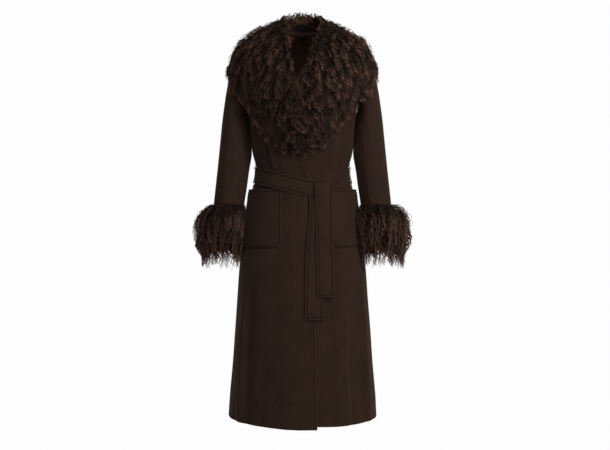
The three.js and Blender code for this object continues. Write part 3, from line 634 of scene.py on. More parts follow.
def brushed_wool(settings):
    """Double-faced wool, brushed and pressed: matt, with a short nap that lies downwards, faint
    flecks of lighter fibre and cloudy shading where the nap turns. Free edges are paler, partly
    for their lighter fibre ends and partly as a painted highlight, and the stitch trough is
    darkened as painted shade. The nap is drawn at 2 mm and the flecks at 4.5 mm, coarser than the
    real fibre, so that they show."""

    def surface(material):
        where = add_node(material, "TexCoord").outputs["Object"]
        down = add_node(material, "Mapping", {"Vector": where, "Scale": (1, 1, 0.35)}).outputs[0]
        nap = noise(material, down, 2, 4, 0.65)
        fleck = noise(material, down, 4.5, 3, 0.7)
        cloud = noise(material, where, 70, 2, 0.5)
        flecked = reckon(material, "MULTIPLY_ADD", fleck, 1.1, -0.22)
        clouded = reckon(material, "MULTIPLY_ADD", cloud, 0.7, -0.18)
        factor = reckon(material, "ADD", flecked, clouded, use_clamp=True)
        colour = blend(material, factor, opaque(settings.wool_dark), opaque(settings.wool))
        pale_edge_and_highlight, stitched = held_values(material, "sewing")
        # paler edge: partly the lighter fibre, partly a painted highlight
        pale = reckon(material, "MULTIPLY_ADD", pale_edge_and_highlight, 0.36, 0.0)
        colour = blend(material, pale, colour, opaque(settings.wool, 1.6))
        # painted shade in the stitch trough
        colour = blend(material, stitched, colour, opaque(settings.wool_dark, 0.35))
        height = reckon(material, "ADD", nap, reckon(material, "MULTIPLY_ADD", fleck, 0.8, 0.0))
        feeds = {
            "Base Color": colour,
            "Normal": bump(material, height, 0.35, 0.5),
            "Roughness": 0.92,
            "Specular IOR Level": 0.05,
            "Specular Tint": (1, 0.68, 0.52, 1),
            "Sheen Weight": 0.07,
            "Sheen Roughness": 0.42,
            "Sheen Tint": (0.9, 0.68, 0.56, 1),
        }
        return add_node(material, "BsdfPrincipled", feeds)

    return make_material("double_faced_wool", surface)


def lambskin_hair(settings):
    """Long curly lambskin hair, dyed and combed: each lock is dark in the pile and lighter and
    warmer at its tip, with a soft shine along the curl. The dark root is partly the hair's own
    colour and partly painted shade deep in the pile, and the pale tip partly its own colour and
    partly a painted highlight. The colour follows the share of the lock's length, held on its mesh."""

    def surface(material):
        share, tone = held_values(material, "hair")
        ramp = add_node(material, "ValToRGB", {0: share})
        ends = ramp.color_ramp.elements
        # dark root: own colour and painted shade in the pile; pale tip: own colour and painted highlight
        ends[0].color, ends[0].position = opaque(settings.root), 0.26
        ends[1].color, ends[1].position = opaque(settings.tip), 1.0
        ends.new(0.62).color = opaque(settings.hair)
        feeds = {
            "Base Color": blend(material, tone, opaque(settings.root), ramp.outputs[0]),
            "Roughness": 0.42,
            "Specular IOR Level": 0.3,
            "Specular Tint": (1, 0.72, 0.56, 1),
        }
        return add_node(material, "BsdfPrincipled", feeds)

    return make_material("curly_lambskin_hair", surface)


def lambskin_underwool(settings):
    """The dense wool between the locks and the skin under it: nearly black, partly its own colour and
    partly painted shade deep in the pile, quite matt, and broken up by curls 9 mm across."""

    def surface(material):
        where = add_node(material, "TexCoord").outputs["Object"]
        curl = noise(material, where, 9, 3, 0.7)
        brown = reckon(material, "MULTIPLY_ADD", curl, 0.25, 0.0)
        feeds = {
            # nearly black: its own dark colour deepened as painted shade deep in the pile
            "Base Color": blend(material, brown, opaque(settings.root), opaque(settings.hair)),
            "Normal": bump(material, curl, 0.8, 2),
            "Roughness": 0.9,
            "Specular IOR Level": 0.15,
        }
        return add_node(material, "BsdfPrincipled", feeds)

    return make_material("lambskin_underwool", surface)


def studio_paper(settings):
    """White paper that glows evenly where the camera sees it and lights the coat as paper does."""

    def surface(material):
        where = add_node(material, "TexCoord").outputs["Object"]
        grain = noise(material, where, 3, 2, 0.55)
        tone = blend(material, grain, opaque(settings.floor, 0.97), opaque(settings.floor))
        paper = add_node(material, "BsdfDiffuse", {"Color": tone}).outputs[0]
        glow = add_node(material, "Emission", {"Color": tone, "Strength": 1.0}).outputs[0]
        seen = add_node(material, "LightPath").outputs["Is Camera Ray"]
        return add_node(material, "MixShader", {0: seen, 1: paper, 2: glow})

    return make_material("white_studio_paper", surface)


def sew(node, grid, facing, held, rests_on, cloth, **wall):
    """Makes a wall of wool from a grid of points and puts it on the coat."""
    piece, cut = cloth_wall(f"wool_{node}", grid, facing, **wall)
    finish_piece(piece, node, brushed_wool(cloth))


# ---------------------------------------------------------------- body of the coat
def smooth_line(points, share):
    """A chord-length cubic through a few points, at shares of its length."""
    points = np.array(points, float)
    steps = np.sqrt(np.linalg.norm(np.diff(points, axis=0), axis=1))
    knots = np.concatenate([[0], np.cumsum(steps)])
    rows = {"t": knots / knots[-1], **dict(zip("xyz", points.T))}
    return stack(*(along(rows, "t", share, axis) for axis in "xyz"))


def armhole_point(share, depth):
    """The armhole seam: a cosine from the underarm up to the shoulder tip, bowed by a sine
    forwards or back by its depth and inwards by its scoop."""
    turn = np.pi * np.asarray(share, float)
    rise = (1 - np.cos(turn)) / 2
    return stack(
        mix(ARMHOLE_X, SHOULDER_TIP[0], rise) - ARMHOLE_SCOOP * np.sin(turn),
        SHOULDER_Y * rise + depth * np.sin(turn),
        mix(UNDERARM_Z, SHOULDER_TIP[1], rise),
    )


def shoulder_point(share):
    """The straight shoulder seam."""
    return stack(
        mix(NECK_POINT[0], SHOULDER_TIP[0], share), SHOULDER_Y, mix(NECK_POINT[1], SHOULDER_TIP[1], share)
    )


def back_neck_point(share):
    """A quarter ellipse from the centre back to the neck point."""
    turn = np.pi / 2 * np.asarray(share, float)
    return stack(
        NECK_POINT[0] * np.sin(turn),
        mix(SHOULDER_Y, BACK_NECK_Y, np.cos(turn)),
        NECK_POINT[1] * (1 - np.cos(turn)),
    )


def patch(u, v, low, top, first, last):
    """The yoke: opposite border lines mixed by ease(v) and ease(u), less what the corners count
    twice."""
    up, across = ease(v)[None, :, None], ease(u)[:, None, None]
    base = low[:, None] * (1 - up) + top[:, None] * up
    first_error = first[None] - (low[:1, None] * (1 - up) + top[:1, None] * up)
    last_error = last[None] - (low[-1:, None] * (1 - up) + top[-1:, None] * up)
    return base + first_error * (1 - across) + last_error * across


def wrap_lift(x, z):
    """How far the top front rises to lie on the under front."""
    return WRAP_LIFT * ease((WRAP_FROM - x) / (WRAP_FROM - WRAP_TO)) * ease((-150 - z) / 80)


def level_rows():
    """Heights from the hem to just under the underarm, closer at the hem and the waist."""
    hem = HEM_Z + np.array([0, 0.8, 1.6, 4])
    return np.concatenate([hem, np.linspace(-1188, -560, 34), np.linspace(-552, -252, 38)])


def front_grid(side, creased):
    """The front from hem to shoulder: level sections below the underarm and the yoke above."""
    on_top = side < 0
    edge = TOP_EDGE if on_top else UNDER_EDGE
    u = spaced(46, 0.034, ("first",))
    z = level_rows()
    rise = (0 if on_top else UNDER_HEM_RISE) * (1 - ease(u * 1.6))
    height = z + np.outer(rise, ease((-1130 - z) / 70))
    start = angle_at(BODY, along(edge, "z", height, "x"), height)
    lower = body_point(side, mix(start, np.pi / 2, u[:, None]), height, 0.0, creased)
    at_arm = np.full(u.shape, float(UNDERARM_Z))
    first_angle = angle_at(BODY, along(edge, "z", UNDERARM_Z, "x"), UNDERARM_Z)
    low = body_point(side, mix(first_angle, np.pi / 2, u), at_arm, 0.0, creased)
    v = np.linspace(0, 1, YOKE_ROWS)
    neckline = TOP_NECKLINE if on_top else UNDER_NECKLINE
    line = smooth_line([low[0], *neckline, shoulder_point(0.0)], v)
    upper = patch(u, v, low, shoulder_point(u), line, armhole_point(v, -ARMHOLE_FRONT))
    points = np.concatenate([lower, upper], axis=1)
    if on_top:
        points[..., 1] -= wrap_lift(points[..., 0], points[..., 2])
        high = points[..., 2]
        roll = ease((-890 - high) / 60) * EDGE_ROLL[0]
        roll = roll + EDGE_ROLL[1] * ease((-300 - high) / 90) * ease((high + 482) / 14)
        points[..., 1] -= roll * bell(lengths(points, 0), 17)
    return mirrored(points, side)


def back_grid(side, creased):
    """The back from hem to neck and shoulder."""
    neck_share = 4 / 18
    close = np.array([0.003, 0.007, 0.012, 0.018])
    whole = [close, np.linspace(0, neck_share, 9), np.linspace(neck_share, 1, 38)]
    u = np.unique(np.concatenate(whole))
    z = level_rows()
    angle = mix(np.pi, np.pi / 2, u)
    lower = body_point(side, *np.broadcast_arrays(angle[:, None], z[None, :]), 0.0, creased)
    low = body_point(side, angle, np.full(u.shape, float(UNDERARM_Z)), 0.0, creased)
    neck, shoulder = back_neck_point(u / neck_share), shoulder_point((u - neck_share) / (1 - neck_share))
    top = np.where((u <= neck_share)[:, None], neck, shoulder)
    v = np.linspace(0, 1, YOKE_ROWS)
    centre = smooth_line([low[0], *CENTRE_BACK, back_neck_point(0.0)], v)
    upper = patch(u, v, low, top, centre, armhole_point(v, ARMHOLE_BACK))
    points = np.concatenate([lower, upper], axis=1)
    points[..., 1] -= CENTRE_SEAM_DEEP * bell(lengths(points, 0), SEAM_WIDE)
    points[0, :, 0] = 0
    return mirrored(points, side)


def sleeve_point(turn, ring):
    """Rings that leave the armhole's line and become ellipses down the arm."""
    turn, ring = np.broadcast_arrays(turn, ring)
    value = {k: along(SLEEVE, "ring", ring, k) for k in SLEEVE if k != "ring"}
    across = (1 - np.cos(turn)) / 2
    point = stack(
        mix(value["inner_x"], value["outer_x"], across),
        value["y"] - value["depth"] * np.sin(turn),
        mix(value["inner_z"], value["outer_z"], across),
    )
    forward = turn <= np.pi
    share = np.where(forward, turn / np.pi, 2 - turn / np.pi)
    seam = armhole_point(share, np.where(forward, -ARMHOLE_FRONT, ARMHOLE_BACK))
    return mix(seam, point, value["left_armhole"][..., None])


# Creases across the sleeve: turn in degrees from the underarm, width round the arm, ring where
# it lies, slant in rings over its width, and how far it stands out.
ARM_CREASES = table(
    "side turn width ring slant length out",
    (-1, 95, 30, 9.3, 1.0, 0.22, -1.6),
    (-1, 70, 26, 10.2, 0.8, 0.2, 1.4),
    (-1, 120, 34, 11.0, -0.7, 0.26, -1.3),
    (-1, 60, 22, 6.9, 0.9, 0.3, -2.0),
    (-1, 280, 36, 9.8, -0.9, 0.25, 1.6),
    (-1, 250, 30, 8.6, 0.8, 0.24, -1.6),
    (1, 88, 28, 9.8, -0.9, 0.22, -1.6),
    (1, 112, 30, 10.7, 0.8, 0.24, 1.3),
    (1, 62, 24, 8.4, 0.8, 0.2, 1.2),
    (1, 58, 22, 7.0, 0.9, 0.3, -2.0),
    (1, 262, 34, 9.4, 0.9, 0.25, 1.6),
    (1, 290, 30, 10.6, -0.8, 0.24, -1.5),
)


def arm_relief(side, turn, ring):
    """Short slanting bell-shaped creases."""
    rows = ARM_CREASES
    out = np.zeros(np.broadcast_shapes(np.shape(turn), np.shape(ring)))
    for k in np.flatnonzero(rows["side"] == side):
        over = (turn - np.radians(rows["turn"][k])) / np.radians(rows["width"][k])
        down = (ring - rows["ring"][k] - rows["slant"][k] * over) / rows["length"][k]
        out = out + rows["out"][k] * np.exp(-(over**2) - down**2)
    return out


def sleeve_grid(side, first, last, creased):
    """Part of the sleeve's tube between two turns, with the seam pressed in at both sides."""
    turn = spaced(int(8 * (last - first)), 0.02)[:, None] * (last - first) + first
    ring = np.concatenate([np.linspace(0, 8, 33), np.linspace(8.2, 14, 34)])[None, :]
    points = sleeve_point(np.mod(turn, 2 * np.pi), ring)
    normals = grid_normals(points, -1)
    relief = creased * arm_relief(side, np.mod(turn, 2 * np.pi), ring)
    around = lengths(points, 0)
    edge = np.minimum(around, around[-1:] - around)
    relief = relief - SEAM_DEEP * bell(edge, SEAM_WIDE)
    return mirrored(points + normals * relief[..., None], side)


class CoatBody(bpy.types.Operator):
    """Makes the two fronts and the two backs of brushed wool."""

    bl_idname = "coat.body"
    bl_label = "Fronts and backs"

    def execute(self, context):
        cloth = context.scene.coat_cloth
        for side, word in SIDES:
            front, back = f"front_{word}", f"back_{word}"
            wall = {"free": ("first", "low"), "stitched": cloth.stitch_depth, "sewn": ("first",)}
            sew(front, front_grid(side, cloth.crease), side, "hung", [back], cloth, **wall)
            sew(back, back_grid(side, cloth.crease), -side, "hung", [front], cloth, free=("low",))
        return {"FINISHED"}


class CoatSleeves(bpy.types.Operator):
    """Makes the top and the under sleeve of each arm."""

    bl_idname = "coat.sleeves"
    bl_label = "Sleeves"

    def execute(self, context):
        cloth = context.scene.coat_cloth
        parts = (
            ("top", SLEEVE_SEAM_TURN, 2 * np.pi - SLEEVE_SEAM_TURN),
            ("under", -SLEEVE_SEAM_TURN, SLEEVE_SEAM_TURN),
        )
        for side, word in SIDES:
            rests = [f"front_{word}", f"back_{word}"]
            for part, first, last in parts:
                grid = sleeve_grid(side, first, last, cloth.crease)
                sew(f"sleeve_{part}_{word}", grid, -side, "hung", rests, cloth)
        return {"FINISHED"}


# ---------------------------------------------------------------- pockets and belt
def pocket_grid(side):
    """The pocket one layer out on the front, its lower inner corner cut to a quarter circle."""
    share = spaced(34, 0.045)
    z = mix(POCKET["bottom"], POCKET["top"], share**1.15)[None, :]
    above = np.minimum(z - POCKET["bottom"], POCKET["corner"])
    cut = POCKET["corner"] - np.sqrt(POCKET["corner"] ** 2 - (POCKET["corner"] - above) ** 2)
    start = angle_at(BODY, POCKET["inner"] + cut, z)
    across = spaced(36, 0.05, ("first",))[:, None]
    angle = mix(start, np.radians(POCKET["outer_angle"]), across)
    angle, height = np.broadcast_arrays(angle, z)
    gape = POCKET["gape"] * bell(height - POCKET["top"], 26) * across**1.5
    points = body_point(side, angle, height, LAYER + gape)
    if side < 0:
        points[..., 1] -= wrap_lift(points[..., 0], points[..., 2])
    return mirrored(points, side)


def lay_strip(angle, z, out):
    """Points on the body at signed angles, positive on the wearer's left."""
    angle, z, out = np.broadcast_arrays(angle, z, out)
    side = np.where(angle < 0, -1.0, 1.0)
    normal = section_normal(BODY, np.abs(angle), z)
    relief = np.zeros(angle.shape)
    for one in (-1, 1):
        ridges = np.maximum(fold_relief(CREASES, one, np.abs(angle), z), 0)
        whole = fold_relief(FOLDS, one, np.abs(angle), z) + ridges
        relief = np.where(side == one, whole, relief)
    points = section_point(BODY, np.abs(angle), z) + normal * (out + relief)[..., None]
    points[..., 0] *= side
    return points


def belt_grids():
    """The three stretches of the belt between the knot and the side seams, which ripple a little.
    Beside the knot the belt is crushed on the wearer's right and pleated on the left."""
    knot = float(angle_at(BODY, KNOT_X, BELT_FRONT_Z))
    quarter, gap = np.pi / 2, BELT_GAP
    across = spaced(12, 0.13)[None, :] - 0.5
    share = np.linspace(0, 1, 91)[:, None]
    ripple = 0.5 * np.sin(share * 23) * np.sin(share * 9 + 1)
    back = mix(quarter + gap, 3 * quarter - gap, share)
    signed = np.where(back > np.pi, back - 2 * np.pi, back)
    grids = {"back": lay_strip(signed, BELT_SIDE_Z + across * BELT_WIDTH, BELT_SIDE_OUT + ripple)}
    angle = mix(-quarter + gap, knot, share)
    nearer = (WAIST_HALF * np.sin(angle) + WAIST_HALF) / (KNOT_X + WAIST_HALF)
    middle = mix(BELT_SIDE_Z, BELT_FRONT_Z, nearer)
    sag = 2.2 * np.sin(np.pi * share)
    crush = 1.4 * bell(share - 0.93, 0.05) * np.sin(across * 14)
    out = mix(BELT_SIDE_OUT, BELT_OUT, ease((share - 0.2) / 0.3)) + ripple
    grids["right"] = lay_strip(angle, middle - sag + across * BELT_WIDTH, out + crush)
    share = np.linspace(0, 1, 61)[:, None]
    angle = mix(knot, quarter - gap, share)
    middle = mix(BELT_FRONT_Z + 1, BELT_SIDE_Z, ease(share))
    width = mix(BELT_WIDTH * 0.42, BELT_WIDTH, ease(share * 1.1))
    pleat = 1.6 * (1 - ease(share * 1.5)) * np.cos(across * 19)
    out = mix(BELT_OUT, BELT_SIDE_OUT, ease((share - 0.3) / 0.5))
    grids["left"] = lay_strip(angle, middle + across * width, out + pleat)
    return grids


def strap_across():
    """Places across a hanging strap, from -1 to 1."""
    return (spaced(14, 0.13)[:, None] - 0.5) * 2


def strap_grid(x, z, out, width, droop=0.0):
    """A hanging strap from its middle line, its width and how far its sides droop."""
    across = strap_across()
    own = x[None, :] + across * width / 2
    z = z[None, :] - droop * across**2
    angle = angle_at(BODY, np.abs(own), z) * np.where(own < 0, -1.0, 1.0)
    return lay_strip(angle, z, out)


def tail_grids():
    """The tail that folds over the knot, and the longer one behind it."""
    over = KNOT["out"] + KNOT["thick"] / 2 + CLOTH / 2 + 1
    front_out = REAR_TAIL["out"] + LAYER + 1.2
    share = np.concatenate([np.linspace(0, 0.16, 26) ** 1.2, np.linspace(0.14, 1, 60)])
    share = np.unique(np.concatenate([share, 1 - np.array([0.003, 0.008, 0.014, 0.02, 0.027])]))
    z = mix(FRONT_TAIL["top"], FRONT_TAIL["bottom"], share)
    curl = np.sqrt(1 - (1 - np.clip((FRONT_TAIL["top"] - z) / 13, 0, 1)) ** 2)
    settle = ease((KNOT["bottom"] + 4 - z) / 55)
    out = mix(mix(BELT_OUT, over, curl), front_out, settle)
    x = mix(FRONT_TAIL["top_x"], FRONT_TAIL["bottom_x"], share)
    squeeze = 1.5 * np.cos(strap_across() * 4.2) * bell(z + 535, 22)
    droop = 3.5 * bell(share * (FRONT_TAIL["top"] - FRONT_TAIL["bottom"]), 16)
    wide = mix(FRONT_TAIL["top_wide"], FRONT_TAIL["wide"], share)
    front = strap_grid(x, z, out + squeeze, wide, droop)
    share = spaced(70, 0.02, ("last",))
    z = mix(REAR_TAIL["top"], REAR_TAIL["bottom"], share)
    x = mix(REAR_TAIL["top_x"], REAR_TAIL["bottom_x"], ease(share * 1.6))
    rear = strap_grid(x, z, REAR_TAIL["out"], REAR_TAIL["wide"])
    return front, rear


class CoatPockets(bpy.types.Operator):
    """Makes the two patch pockets."""

    bl_idname = "coat.pockets"
    bl_label = "Pockets"

    def execute(self, context):
        cloth = context.scene.coat_cloth
        wall = {"free": ("first", "low", "top"), "stitched": cloth.stitch_depth}
        for side, word in SIDES:
            sew(f"pocket_{word}", pocket_grid(side), side, "laid", [f"front_{word}"], cloth, **wall)
        return {"FINISHED"}


class CoatBelt(bpy.types.Operator):
    """Makes the tie belt: three stretches, the knot, two tails and two loops."""

    bl_idname = "coat.belt"
    bl_label = "Belt"

    def execute(self, context):
        cloth = context.scene.coat_cloth
        deep = cloth.stitch_depth
        for part, grid in belt_grids().items():
            rests = ["back_left", "back_right"] if part == "back" else ["front_left", "front_right"]
            wall = {"free": ("low", "top"), "stitched": deep}
            sew(f"belt_{part}", grid, 1, "stretched", rests, cloth, **wall)
        for part, grid in zip(("front", "rear"), tail_grids()):
            wall = {"free": EDGES if part == "front" else EDGES[:3], "stitched": deep}
            rests = ["belt_knot", "front_right"]
            sew(f"belt_tail_{part}", grid[:, ::-1], 1, "hung", rests, cloth, **wall)
        self.knot(cloth)
        for side, word in SIDES:
            self.loop(side, word, cloth)
        return {"FINISHED"}

    def knot(self, cloth):
        """The turn of the belt under the front tail, with two soft folds along it."""
        x = mix(KNOT["left"], KNOT["right"], np.linspace(0, 1, 25))[:, None]
        share = np.linspace(0, 1, 21)[None, :]
        x, z = np.broadcast_arrays(x, mix(KNOT["bottom"], KNOT["top"], share))
        ripple = 0.7 * np.sin(share * 2 * np.pi * 2.2)
        grid = lay_strip(angle_at(BODY, x, z), z, KNOT["out"] + ripple)
        wall = {"free": EDGES, "thickness": KNOT["thick"]}
        sew("belt_knot", grid, 1, "gathered", ["belt_right", "belt_left"], cloth, **wall)

    def loop(self, side, word, cloth):
        """A narrow strap over the belt, sewn down at both ends."""
        share = np.linspace(0, 1, 91)[None, :]
        across = np.linspace(-0.5, 0.5, 7)[:, None] * LOOP["width"] / WAIST_HALF
        low = CLOTH / 2 + LOOP["thick"] / 2 + 0.4
        lifted = ease((share - 0.1) / 0.06) * ease((0.9 - share) / 0.06)
        angle, z = np.broadcast_arrays(np.pi / 2 + across, mix(LOOP["bottom"], LOOP["top"], share))
        grid = mirrored(body_point(side, angle, z, mix(low, LOOP["out"], lifted), 0.0), side)
        wall = {"free": EDGES, "thickness": LOOP["thick"]}
        sew(f"belt_loop_{word}", grid, side, "stretched", [f"front_{word}"], cloth, **wall)


class CoatHanger(bpy.types.Operator):
    """Makes the loop that hangs the coat on a peg."""

    bl_idname = "coat.hanger"
    bl_label = "Hanger loop"

    def execute(self, context):
        share = np.linspace(0, 1, 41)[:, None]
        bow = np.sin(np.pi * share)
        x = mix(-HANGER["half"], HANGER["half"], share)
        y = BACK_NECK_Y - CLOTH / 2 - mix(1.2, HANGER["off"], bow) - (x / 22) ** 2 * 1.6
        z = HANGER["z"] - HANGER["drop"] * bow - HANGER["height"] * (1 - np.linspace(0, 1, 7))[None, :]
        wall = {"free": EDGES, "thickness": HANGER["thick"]}
        cloth, rests = context.scene.coat_cloth, ["back_left", "back_right"]
        sew("hanger_loop", stack(x, y, z), 1, "hung", rests, cloth, **wall)
        return {"FINISHED"}


# ---------------------------------------------------------------- curly lambskin
def collar_form(word, s, t):
    """The collar's underside, the way its hair stands and its pile, at shares along the collar (s)
    and across it (t). The pile thins towards the outer edge and on the shoulder, and at the back
    of the neck it leans up over the neck."""
    value = {k: along(COLLAR, "along", s, k) for k in COLLAR if k != "along"}
    beside = bell(s - 0.42, 0.1)
    roll = COLLAR_ROLL[word] * bell(s - 0.44, 0.13)
    slim = COLLAR_SLIM[word] * ease((s - 0.48) / 0.2)
    angle = np.radians(mix(value[word] - roll, value["outer"] - slim, t))
    z = mix(value["inner_z"], value["outer_z"] + COLLAR_RAISE * beside, t)
    foot = section_point(COLLAR_BED, angle, z)
    normal = section_normal(COLLAR_BED, angle, z)
    neckward = unit(stack(-np.sin(angle) * 0.7, np.cos(angle) * 0.35, 1.0))
    lean = (value["lean"] * (1 - ease(t / 0.45)) * 0.8)[..., None]
    way = unit(mix(normal, neckward, lean))
    neck = mix(mix(0.98, 0.82, ease(s / 0.3)), 1, ease(t / 0.18))
    shoulder = bell(s - 0.36, 0.11) * ease((t - 0.3) / 0.5)
    edge = mix(1, COLLAR_EDGE_PILE, t ** (1.3 - 0.5 * beside)) * (1 - 0.3 * shoulder)
    return foot, way, value["pile"] * neck * edge


def collar_flow(word, s, t, way):
    """Across the collar towards its outer edge, and down along its surface."""
    ahead = collar_form(word, s, np.clip(t + 0.01, 0, 1))[0]
    behind = collar_form(word, s, np.clip(t - 0.01, 0, 1))[0]
    down = np.array([0, 0, -1.0])
    down = down - way * (way @ down)[..., None]
    return unit(ahead - behind), down


def lumps(points, size, seed):
    """Smooth noise from 12 plane waves of about one size, between -1 and 1."""
    draw = np.random.default_rng(seed)
    total = np.zeros(points.shape[:-1])
    for _ in range(12):
        way = unit(draw.normal(size=3)) * 2 * np.pi / (size * draw.uniform(0.7, 1.5))
        total += np.sin(points @ way + draw.uniform(0, 2 * np.pi))
    return total / 12**0.5 / 1.6


def lock_mesh(name, line, stand, curl, run, stray, groups, seed):
    """Joined locks of hair, each a three-sided taper of rings round its middle line. The line winds
    in a flattened helix, with a turn for each pitch of the lock's run, and stray locks are finer.
    Locks of one group share their winding and draw together towards their tips, so that tufts
    show. The mesh holds the share of the length and each lock's tone."""
    draw = np.random.default_rng(seed)
    count, rings = line.shape[:2]
    q = np.linspace(0, 1, rings)[None, :, None]
    many = groups.max() + 1
    line = line + (group_middles(line, groups)[groups] - line) * curl["gather"] * q**1.2
    tangent = unit(np.gradient(line, axis=1))
    sideways = unit(np.cross(np.broadcast_to(stand[:, None], line.shape), tangent))
    phase = draw.uniform(0, 2 * np.pi, many)[groups] + draw.normal(scale=0.8, size=count)
    turns = run / curl["pitch"] * draw.uniform(0.8, 1.25, many)[groups] * draw.uniform(0.93, 1.07, count)
    wide = (curl["width"] * draw.uniform(0.6, 1.3, count))[:, None, None]
    wide = wide * np.minimum(1, q * 3) * (1 - 0.25 * q**2)
    turn = phase[:, None, None] + 2 * np.pi * turns[:, None, None] * q
    line = line + sideways * wide * np.sin(turn) + stand[:, None] * wide * 0.7 * np.cos(turn)
    tangent = unit(np.gradient(line, axis=1))
    one = unit(np.cross(tangent, stand[:, None] + 0.01))
    two = np.cross(tangent, one)
    thick = np.where(stray, curl["fine"], curl["thick"]) * draw.uniform(0.6, 1.35, count)
    swollen = 0.6 + 0.4 * np.sin(np.pi * np.minimum(q * 1.3, 1))
    radius = thick[:, None, None] * swollen * (1 - q**3 * 0.76)
    around = (np.arange(3) * 2 * np.pi / 3)[:, None]
    section = one[:, :, None] * np.cos(around) + two[:, :, None] * np.sin(around)
    points = line[:, :, None] + section * radius[:, :, None]
    index = np.arange(count * rings * 3).reshape(count, rings, 3)
    after = np.roll(index, -1, axis=2)
    lower, upper = index[:, :-1], index[:, 1:]
    side_faces = [
        np.stack([lower, after[:, :-1], after[:, 1:]], axis=-1).reshape(-1, 3),
        np.stack([lower, after[:, 1:], upper], axis=-1).reshape(-1, 3),
    ]
    caps = [index[:, 0, ::-1], index[:, -1]]
    piece = make_mesh(name, points.reshape(-1, 3), np.concatenate(side_faces + caps))
    tone = draw.uniform(0.35, 1.0, many)[groups] * draw.uniform(0.0, curl["tone"], count)
    share = np.broadcast_to(mix(curl["pale"], 1, q), (count, rings, 3))
    paint(piece, "hair", share.ravel(), np.repeat(tone, rings * 3))
    return piece


def group_middles(line, groups):
    """The mean line of each group of locks."""
    many = groups.max() + 1
    total = np.zeros((many, *line.shape[1:]))
    np.add.at(total, groups, line)
    return total / np.maximum(np.bincount(groups, minlength=many), 1)[:, None, None]


def nearest_group(places, centres):
    """The nearest centre of each place, worked out in blocks to hold little memory."""
    blocks = np.array_split(places, max(len(places) // 1000, 1))
    return np.concatenate([((b[:, None] - centres[None]) ** 2).sum(-1).argmin(1) for b in blocks])


def shares(columns, rows):
    """Even shares along (s) and across (t), as two grids."""
    return np.meshgrid(np.linspace(0, 1, columns), np.linspace(0, 1, rows), indexing="ij")


def spread_over_collar(word, count, seed):
    """Random shares (s, t) in proportion to the area of the collar's form."""
    draw = np.random.default_rng(seed)
    area = cell_areas(collar_form(word, *shares(121, 41))[0])
    cell = draw.choice(area.size, size=count, p=area.ravel() / area.sum())
    place = np.array(np.unravel_index(cell, area.shape)) + draw.uniform(size=(2, count))
    return place / np.array(area.shape)[:, None]


